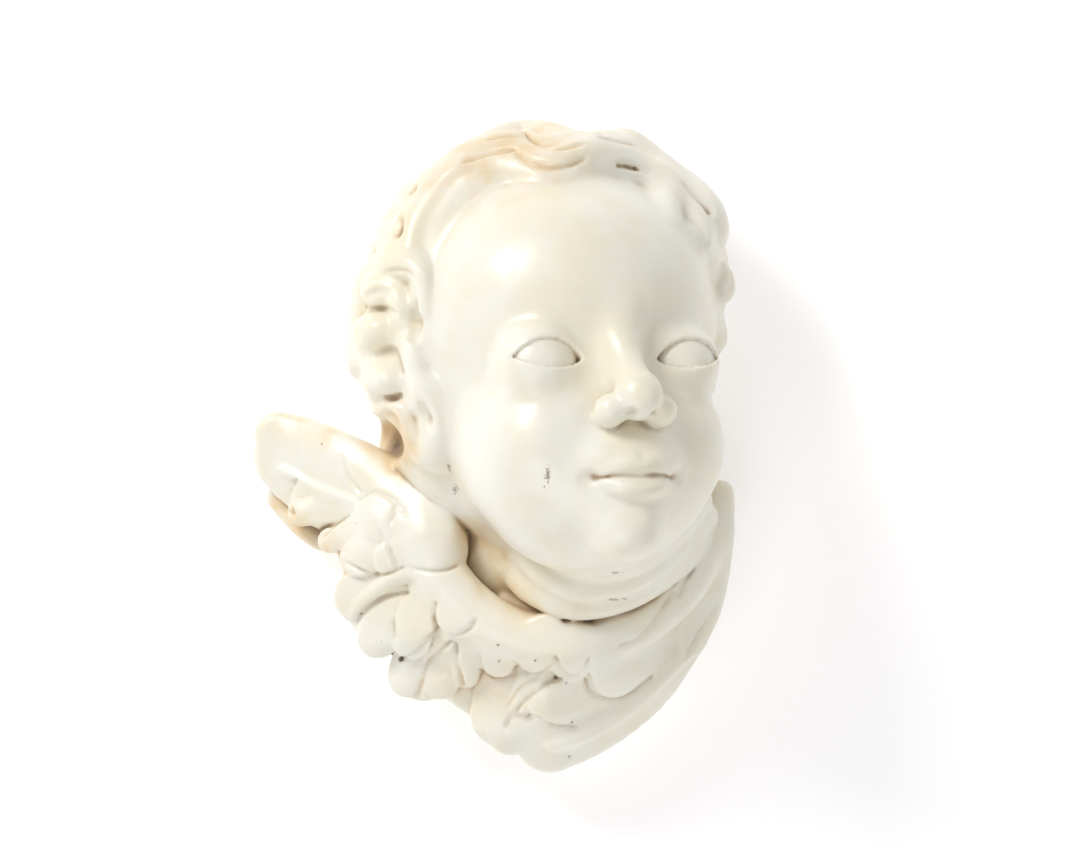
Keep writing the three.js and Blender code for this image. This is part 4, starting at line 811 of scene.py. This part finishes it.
# fine grooves in the wings: places as (x, z), and radius
LINE_SINK = 0.15
LINES = [
    # left wing: feather edges
    ([(-89, -17.5), (-92.5, -24), (-89.5, -30)], 1.1),
    ([(-82, -36.5), (-73.5, -33)], 0.8),
    ([(-72.7, -8.4), (-68.3, -17.4), (-64.7, -21.8)], 0.9),
    ([(-67.2, -25.5), (-60, -21.6), (-52.7, -24.7), (-48, -30.2)], 0.9),
    ([(-80, -39.2), (-74.5, -33.8), (-69, -30.2)], 0.8),
    ([(-58.1, -35.6), (-53.4, -43.6), (-50.9, -50)], 0.9),
    ([(-72, -46), (-64, -50.4), (-56.3, -51.5), (-49, -48.6)], 0.9),
    ([(-48, -48.6), (-41, -49.8), (-34, -49.4), (-28.5, -47.4)], 1),
    ([(-51.5, -26), (-53.6, -33)], 0.8),
    ([(-47.4, -58), (-52.6, -58.8), (-58.6, -61), (-64.5, -66), (-67, -70)], 1.1),
    ([(-53, -68), (-53, -77)], 1),
    ([(-36.6, -70), (-40.7, -75.3), (-45.2, -79.8), (-50.4, -82.6), (-57, -83)], 1),
    ([(-37.2, -61), (-38.4, -66), (-35.6, -71.4), (-30.4, -73), (-25, -70.6), (-22.6, -66.8)], 0.9),
    ([(-30.2, -76), (-30.2, -83.6), (-28.7, -88.8), (-27.5, -94)], 1.1),
    ([(-31.7, -75), (-37.7, -80.6), (-41.4, -84.6), (-42.9, -91), (-44.5, -97)], 1),
    # right wing
    ([(-1, -88.3), (-6, -91.4), (-9.4, -95), (-11.8, -99.8)], 0.9),
    ([(8, -88.6), (2, -90.8), (-3, -94.6), (-7.4, -99.6), (-11, -104.5), (-12.6, -108.5)], 1),
    ([(-9.6, -104.2), (-5.3, -102.7), (-0.2, -103.4), (2.7, -105.6), (7, -107), (13.8, -107.2)], 0.9),
    ([(16.4, -88.6), (17.4, -92.6), (20.4, -95.6), (25.1, -97), (29.6, -96.6), (35.9, -93), (42, -88)],
     1.1),
    ([(-9, -82), (-7.4, -85.4), (-4, -87.2), (0.5, -86.8), (4.4, -84), (5.6, -80)], 0.9),
    ([(-22, -86), (-19, -88.7), (-14.7, -89.2), (-9.6, -88), (-8.6, -84)], 0.9),
    ([(5.6, -80), (7.4, -85), (11, -87.6), (15.4, -86), (17.6, -81)], 0.9),
    ([(48.9, -56.6), (45.3, -61.6), (43.1, -65.2), (39.5, -70.3), (34.4, -74.6), (28.7, -76.6)], 1),
    ([(57.5, -45.8), (53.2, -53.7), (49.6, -59.5)], 0.9),
    ([(64.4, -63.8), (60.4, -70.3), (56.1, -76.8), (53.2, -82.5)], 0.9),
]


# the room for the neck between the wings
NECK_HOLLOW = [(-14, -70, -8, 18), (-6, -70, -30, 25), (12, -70, -38, 27), (34, -62, -30, 25),
               (50, -50, -10, 18)]


def make_wings(clay):
    for row in FEATHERS:
        clay.add(feather(*row), FEATHER_BLEND)
    clay.cut(rope(NECK_HOLLOW), 4)
    clay.add(rope(COLLAR), 4.0)
    for row, lift, blend in QUILLS:
        rows = [(x, -float(bed_depth(x, z)) - lift, z, r) for x, z, r in row]
        clay.add(rope(rows), blend)
    for points, radius in LINES:
        clay.cut(draw_line(clay, points, radius, LINE_SINK * radius), 0.8)


# Neck
NECK_MASSES = [
    ((15, -22, -44), (40, 37, 34), 6),
    ((-6, -4, -38), (46, 24, 34), 4),
    ((-15, -24, -42), (19, 24, 25), 6),
]
NECK_BLEND = 2
NECK_FOLDS = [
    [(-12, -40, -46, 5.5), (-3, -54, -54, 7.4), (12, -62, -59, 8.2), (30, -60, -56, 8.2),
     (46, -48, -47, 8), (58, -30, -38, 7)],
    [(-8, -46, -42, 5), (1, -62, -49, 6.6), (15, -70, -53.5, 7.4), (32, -67, -50.5, 7.4),
     (47, -53, -41, 7.4), (58, -34, -31, 7)],
    [(-2, -54, -36, 5), (7, -70, -43, 6.4), (20, -77.5, -46.5, 7), (34, -74, -43, 7),
     (47, -58, -34, 7), (56, -40, -25, 6.6)],
]
# fills the seam between the lowest fold and the collar
NECK_SEAT = [(-12, -44, -62, 4), (0, -50, -67, 5), (15, -53.5, -68.5, 5.2), (32, -50, -64.5, 5),
             (47, -41, -55, 4)]


def make_neck(clay):
    for centre, radii, blend in NECK_MASSES:
        clay.add(egg(centre, radii), blend)
    for rows in [NECK_SEAT] + NECK_FOLDS:
        clay.add(rope(rows), NECK_BLEND)


# the uneven surface that carving by hand leaves: height, and the lengths of its waves
RIPPLE = 0.13
RIPPLE_WAVES = (3.3, 5.1, 2.3)


def ripple(axes):
    x, y, z = np.ix_(*axes)
    total = 0.0
    for number, wave in enumerate(RIPPLE_WAVES):
        bend = 1.7 * np.sin((x + y) / (3.1 * wave) + number) + 1.3 * np.cos((z - y) / (2.7 * wave))
        level = np.sin(x / wave + bend) * np.sin(z / wave - bend) * np.cos(y / wave + bend)
        total = total + wave * level
    return RIPPLE * total / max(RIPPLE_WAVES)


def sculpt(cell):
    """The whole carving as clay."""
    wings = Clay(LOW, HIGH, cell)
    make_wings(wings)
    body = Clay(LOW, HIGH, cell)
    make_face(body)
    make_neck(body)
    make_hair(body)
    body.field = smooth_min(body.field, wings.field, 1.0) + ripple(body.axes)
    y = body.axes[1][None, :, None]
    body.field = np.maximum(body.field, y - WALL_OVERLAP + 0.01)
    return body


# Weathering and painted shade: the reach of hollows that count as fine and as broad, and strengths of
# the plain layers; the dirt layer also darkens hollows as painted shade
FINE_HOLLOW_MM = 1.6
BROAD_HOLLOW_MM = 4.5
HOLLOW_SHADE_AND_DIRT_STRENGTH = 0.42
FACE_DIRT_AND_SHADE_STRENGTH = 0.9
PATINA_STRENGTH = 0.16
# the spots fade in between these depths in front of the wall
FRONT_DEPTHS = (4, 12)

# Patina, and dirt that also stands for painted shade in hollows, as the photo shows them: x, z, reach,
# strength
PATINA_SPOTS = [
    (-14, 104, 14, 0.5), (4, 104, 13, 0.6), (-28, 92, 12, 0.45), (-45, 86, 8, 0.4), (-52, 72, 7, 0.35),
    (-55, 61, 7, 0.4), (-66, 40, 5, 0.3), (30, 106, 7, 0.25), (60, 82, 7, 0.3), (68, 52, 5, 0.35),
    (-92, 5, 5, 0.65), (-78, 0, 4, 0.75), (-64, -5, 4, 0.7), (-52, -11, 4, 0.65), (-98, -2, 4, 0.15),
    (-97, -28, 4, 0.8), (-88, -36, 4, 1), (-78, -43, 5, 1), (-74, -52, 3, 0.6), (-76, -60, 4, 0.25),
    (-46, -92, 8, 0.28), (-32, -92, 8, 0.25), (-16, -92, 6, 0.3), (-8, -98, 4, 0.3), (-22, -100, 5, 0.2),
    (-10, -110, 4, 0.25), (2, -84, 5, 0.25), (-53, 2, 6, 1), (-49, -7, 5, 1), (3, 60, 26, 0.12),
    (-23, -38, 7, 0.8), (-16, -52, 7, 0.8), (-4, -63, 6, 0.7), (14, -66, 5, 0.4), (34, -61, 5, 0.4),
]
DIRT_AND_SHADE_SPOTS = [
    (-52, 1, 6, 0.8), (-49, -8, 5, 1), (-20, -45, 7, 0.25), (-12, -57, 6, 0.25), (-23, -34, 5, 0.35),
    (2, -66, 5, 0.3), (18, -67, 6, 0.45), (34, -62, 6, 0.45), (62, 79, 4, 1), (33, 93.5, 4, 1.3),
    (-45, 86, 4, 0.5), (-50, 72, 4, 0.55), (-48, 24, 3, 0.3), (66.5, 47, 4, 0.5), (-52, 8, 4, 0.4),
    (-39.5, 4, 4, 0.2), (-84, -37, 5, 0.5), (-34, -17, 4, 0.5),
]
# in the head's own frame: place, reach; dirt and painted shade in the mouth, the nostrils and the furrow
# over the chin
FACE_DIRT_AND_SHADE = [((-14, -67, -42), 4), ((0, -73, -42), 7), ((14, -67, -42), 4), ((-5, -75, -26), 3),
              ((5, -75, -26), 3), ((0, -74, -52), 2)]
# dark specks and scratches: x, z, half width, half height
SPECKS = [
    (2.5, -14.5, 1.5, 4.2), (1.6, -18.5, 0.7, 1.6), (-30, -20.5, 1.6, 2.6), (-32, -12.5, 1.1, 2),
    (27, -49.5, 2.6, 0.7), (26, -59.5, 3.4, 0.8), (30, -59.2, 1.6, 0.7), (-66, -33, 0.8, 0.8),
    (-57.4, -75.6, 0.7, 0.7), (-1.8, -81.8, 0.9, 0.7), (9.6, -90, 0.7, 1.1), (11.6, -105.4, 0.8, 0.6),
    (11, -119, 0.9, 1.3), (-73.5, -3.6, 0.7, 0.6), (-79.6, -4.4, 0.6, 0.6), (-65, -66, 1.2, 0.7),
    (-14, -88.8, 1.8, 0.6), (-14.6, -76.2, 1.2, 0.7), (-14.6, -82.6, 0.8, 0.8), (-45.8, -95.4, 0.9, 0.8),
]


def box_blur(field, reach):
    """The field averaged over a cube, reach cells each way."""
    out = field
    width = 2 * reach + 1
    for axis in range(3):
        edges = [(reach + 1, reach) if other == axis else (0, 0) for other in range(3)]
        sums = np.cumsum(np.pad(out, edges, mode="edge"), axis=axis, dtype=np.float32)
        sums = np.moveaxis(sums, axis, 0)
        out = np.moveaxis((sums[width:] - sums[:-width]) / width, 0, axis)
    return out


def hollowness(clay, verts, reach_mm):
    """How shut in each point is: 0 on flat marble, positive in hollows, negative on ridges."""
    solid = np.clip(0.5 - clay.field / (2 * clay.cell), 0, 1).astype(np.float32)
    near = box_blur(solid, max(1, int(round(reach_mm / clay.cell))))
    return clay.sample(near, verts) * 2 - 1


def smooth_step(value, low, high):
    t = np.clip((value - low) / (high - low), 0, 1)
    return t * t * (3 - 2 * t)


def spots(verts, rows):
    """The sum of soft round spots, as seen from the front."""
    total = 0.0
    for x, z, reach, strength in rows:
        gap2 = (verts[:, 0] - x) ** 2 + (verts[:, 2] - z) ** 2
        total = total + strength * np.exp(-gap2 / (2 * reach ** 2))
    return total


def weathering_and_shade(clay, verts):
    """Dirt with painted shade in the hollows, and patina, at each point, from 0 to 1."""
    fine = hollowness(clay, verts, FINE_HOLLOW_MM)
    broad = hollowness(clay, verts, BROAD_HOLLOW_MM)
    hollow = smooth_step(fine, 0.08, 0.40) * 0.75 + smooth_step(broad, 0.12, 0.6) * 0.45
    # painted shade with dirt: the more shut in a point is, the darker it is painted
    dirt_and_shade = HOLLOW_SHADE_AND_DIRT_STRENGTH * hollow
    front = smooth_step(-verts[:, 1], *FRONT_DEPTHS)
    dirt_and_shade = dirt_and_shade + spots(verts, DIRT_AND_SHADE_SPOTS) * smooth_step(broad, 0.08, 0.5) * front
    for place, reach in FACE_DIRT_AND_SHADE:
        centre = np.array(head.out(place))
        gap2 = ((verts - centre) ** 2).sum(axis=1)
        near = np.exp(-gap2 / (2 * reach ** 2))
        dirt_and_shade = dirt_and_shade + FACE_DIRT_AND_SHADE_STRENGTH * near * smooth_step(fine, 0.03, 0.35)
    crease = smooth_step(fine, 0.02, 0.3)
    patina = PATINA_STRENGTH * smooth_step(broad, 0.0, 0.4)
    patina = patina + spots(verts, PATINA_SPOTS) * front * (0.7 + 0.8 * crease)
    return np.clip(dirt_and_shade, 0, 1), np.clip(patina, 0, 1)


def build_mesh(name, clay):
    """The clay as a thinned mesh, flat at the wall, with its dirt, painted shade and patina on its
    points.
    """
    verts, quads = surface_nets(clay)
    mesh = bpy.data.meshes.new(name)
    mesh.from_pydata((verts / METRE).tolist(), [], quads.tolist())
    mesh.update()
    obj = bpy.data.objects.new(name, mesh)
    bpy.context.scene.collection.objects.link(obj)
    triangles = 2 * len(quads)
    if triangles > TRIANGLE_LIMIT:
        thin = obj.modifiers.new("thin", "DECIMATE")
        thin.ratio = TRIANGLE_LIMIT / triangles
        graph = bpy.context.evaluated_depsgraph_get()
        thinned = bpy.data.meshes.new_from_object(obj.evaluated_get(graph))
        obj.modifiers.clear()
        obj.data = thinned
        mesh = thinned
    count = len(mesh.vertices)
    flat = np.empty(count * 3)
    mesh.vertices.foreach_get("co", flat)
    points = flat.reshape(-1, 3)
    points[:, 1] = np.minimum(points[:, 1], 0.0)
    mesh.vertices.foreach_set("co", points.ravel())
    dirt_and_shade, patina = weathering_and_shade(clay, points * METRE)
    for title, values in (("dirt_and_shade", dirt_and_shade), ("patina", patina)):
        layer = mesh.attributes.new(title, "FLOAT", "POINT")
        layer.data.foreach_set("value", values.astype(np.float32))
    mesh.polygons.foreach_set("use_smooth", [True] * len(mesh.polygons))
    mesh.update()
    return obj


def set_inputs(node, values):
    for name, value in values.items():
        node.inputs[name].default_value = value


class Nodes:
    """Short calls for making a material's nodes."""

    def __init__(self, material):
        material.use_nodes = True
        self.tree = material.node_tree
        self.shader = self.tree.nodes["Principled BSDF"]

    def add(self, kind, **settings):
        node = self.tree.nodes.new(kind)
        for key, value in settings.items():
            setattr(node, key, value)
        return node

    def link(self, source, target):
        self.tree.links.new(source, target)

    def math(self, operation, a, b):
        node = self.add("ShaderNodeMath", operation=operation)
        for number, value in enumerate((a, b)):
            if isinstance(value, (int, float)):
                node.inputs[number].default_value = value
            else:
                self.link(value, node.inputs[number])
        return node.outputs[0]

    def plus(self, a, b):
        return self.math("ADD", a, b)

    def times(self, a, b):
        return self.math("MULTIPLY", a, b)

    def vector(self, operation, source, value):
        node = self.add("ShaderNodeVectorMath", operation=operation)
        self.link(source, node.inputs[0])
        node.inputs[1].default_value = value
        return node.outputs[0]

    def blend(self, share, a, b):
        node = self.add("ShaderNodeMix", data_type="RGBA")
        for socket, value in ((node.inputs[0], share), (node.inputs[6], a), (node.inputs[7], b)):
            if isinstance(value, tuple):
                socket.default_value = value + (1.0,)
            else:
                self.link(value, socket)
        return node.outputs[2]

    def noise(self, scale, detail):
        node = self.add("ShaderNodeTexNoise")
        set_inputs(node, {"Scale": scale, "Detail": detail, "Roughness": 0.55})
        self.link(self.place, node.inputs["Vector"])
        return node.outputs["Fac"]

    def steps(self, value, low, high):
        node = self.add("ShaderNodeMapRange", interpolation_type="SMOOTHSTEP")
        set_inputs(node, {"From Min": low, "From Max": high})
        self.link(value, node.inputs["Value"])
        return node.outputs["Result"]


def marble_material(speck_places):
    material = bpy.data.materials.new("old_marble")
    n = Nodes(material)
    n.place = n.add("ShaderNodeTexCoord").outputs["Object"]
    shader = n.shader

    cloud = n.noise(scale=22.0, detail=4.0)
    stain = n.noise(scale=70.0, detail=5.0)
    patch = n.noise(scale=95.0, detail=4.0)
    dirt_and_shade = n.add("ShaderNodeAttribute", attribute_name="dirt_and_shade").outputs["Fac"]
    patina = n.add("ShaderNodeAttribute", attribute_name="patina").outputs["Fac"]

    clouded = n.plus(n.times(cloud, 0.6), n.times(stain, 0.4))
    colour = n.blend(n.steps(clouded, 0.38, 0.62), MARBLE_PALE, MARBLE_WARM)
    worn = n.times(patina, n.plus(n.times(patch, 2.4), -0.3))
    colour = n.blend(n.steps(worn, 0.02, 0.9), colour, PATINA_COLOUR)
    # painted shade and dirt: brown in hollows and creases, near black in the deepest
    patchy_dirt_and_shade = n.times(dirt_and_shade, n.plus(n.times(patch, 1.2), 0.35))
    colour = n.blend(n.steps(patchy_dirt_and_shade, 0.02, 0.75), colour, DIRT_AND_SHADE_COLOUR)
    # near black where the hollows are deepest: painted shade
    colour = n.blend(n.steps(patchy_dirt_and_shade, 0.62, 1.1), colour, DEEP_SHADE_AND_DIRT_COLOUR)

    # dark specks and scratches
    marks = None
    for place, (wide, high) in speck_places:
        shift = n.vector("SUBTRACT", n.place, [value / METRE for value in place])
        halves = (wide, SPECK_DEPTH * max(wide, high), high)
        stretch = n.vector("MULTIPLY", shift, [METRE / half for half in halves])
        length = n.add("ShaderNodeVectorMath", operation="LENGTH")
        n.link(stretch, length.inputs[0])
        near = n.math("SUBTRACT", 1.0, length.outputs["Value"])
        marks = near if marks is None else n.math("MAXIMUM", marks, near)
    ragged = n.plus(marks, n.times(n.math("SUBTRACT", n.noise(scale=900.0, detail=2.0), 0.55), 3.0))
    colour = n.blend(n.times(n.steps(ragged, 0.1, 0.8), 0.75), colour, SPECK_COLOUR)
    n.link(colour, shader.inputs["Base Color"])

    rough = n.plus(n.times(patchy_dirt_and_shade, 0.45), n.times(patch, 0.1))
    rough = n.plus(rough, MARBLE_ROUGHNESS)
    n.link(rough, shader.inputs["Roughness"])
    set_inputs(shader, {"Subsurface Weight": 0.35, "Subsurface Radius": (1.0, 0.85, 0.6),
                        "Subsurface Scale": 0.003})

    bump = n.add("ShaderNodeBump")
    set_inputs(bump, {"Strength": 0.2, "Distance": 0.0006})
    n.link(patch, bump.inputs["Height"])
    n.link(bump.outputs["Normal"], shader.inputs["Normal"])
    return material


def plain_material(name, colour, glow=0.0, one_sided=False):
    material = bpy.data.materials.new(name)
    n = Nodes(material)
    full = colour + (1.0,)
    set_inputs(n.shader, {"Base Color": full, "Roughness": 0.9, "Specular IOR Level": 0.1,
                          "Emission Color": full, "Emission Strength": glow})
    if one_sided:
        clear = n.add("ShaderNodeBsdfTransparent")
        mix = n.add("ShaderNodeMixShader")
        n.link(n.add("ShaderNodeNewGeometry").outputs["Backfacing"], mix.inputs[0])
        n.link(n.shader.outputs[0], mix.inputs[1])
        n.link(clear.outputs[0], mix.inputs[2])
        n.link(mix.outputs[0], n.tree.nodes["Material Output"].inputs["Surface"])
    return material


def stage_plane(name, material, size, location, tip):
    half = size / 2
    mesh = bpy.data.meshes.new(name)
    mesh.from_pydata([(-half, -half, 0), (half, -half, 0), (half, half, 0), (-half, half, 0)], [],
                     [(0, 1, 2, 3)])
    mesh.materials.append(material)
    plane = bpy.data.objects.new(name, mesh)
    plane.location = location
    plane.rotation_euler = (radians(tip), 0, 0)
    bpy.context.scene.collection.objects.link(plane)
    return plane


def softbox(name, place, size, power):
    light = bpy.data.lights.new(name, "AREA")
    light.size = size
    light.energy = power
    holder = bpy.data.objects.new(name, light)
    holder.location = place
    direction = Vector(LIGHT_AIM) - Vector(place)
    holder.rotation_euler = direction.to_track_quat("-Z", "Y").to_euler()
    bpy.context.scene.collection.objects.link(holder)


def set_stage():
    wall_paint = plain_material("wall_paint", WALL_COLOUR, WALL_GLOW, one_sided=True)
    floor_paint = plain_material("floor_paint", FLOOR_COLOUR)
    # the wall stands just behind the back face
    stage_plane("wall", wall_paint, size=6.0, location=(0, 0.0015, 0), tip=90)
    stage_plane("floor", floor_paint, size=8.0, location=(0, 0, -1.1), tip=0)
    world = bpy.data.worlds.new("studio")
    world.use_nodes = True
    backdrop = world.node_tree.nodes["Background"]
    set_inputs(backdrop, {"Color": (1.0, 1.0, 1.0, 1.0), "Strength": WORLD_STRENGTH})
    bpy.context.scene.world = world
    for light in LIGHTS:
        softbox(*light)
    camera_data = bpy.data.cameras.new("camera")
    camera_data.sensor_width = SENSOR_MM
    camera_data.lens = SENSOR_MM * CAMERA_MM / (MM_PER_PIXEL * PHOTO_WIDTH)
    camera = bpy.data.objects.new("camera", camera_data)
    camera.location = (0, -CAMERA_MM / METRE, 0)
    camera.rotation_euler = (radians(90), 0, 0)
    bpy.context.scene.collection.objects.link(camera)
    bpy.context.scene.camera = camera
    bpy.context.scene.view_settings.view_transform = "Standard"


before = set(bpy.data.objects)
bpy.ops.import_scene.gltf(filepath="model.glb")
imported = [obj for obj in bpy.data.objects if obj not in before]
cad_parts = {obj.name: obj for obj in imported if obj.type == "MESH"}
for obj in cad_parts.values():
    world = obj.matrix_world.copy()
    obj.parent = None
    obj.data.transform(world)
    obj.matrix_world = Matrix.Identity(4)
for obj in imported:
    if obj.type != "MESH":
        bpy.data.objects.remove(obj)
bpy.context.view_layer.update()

body = sculpt(FINE_CELL)
putto = build_mesh("carved_putto", body)
speck_places = [((x, front_of(body, x, z), z), (wide, high)) for x, z, wide, high in SPECKS]
putto.data.materials.append(marble_material(speck_places))
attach(putto, "root")
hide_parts("putto_head")

set_stage()
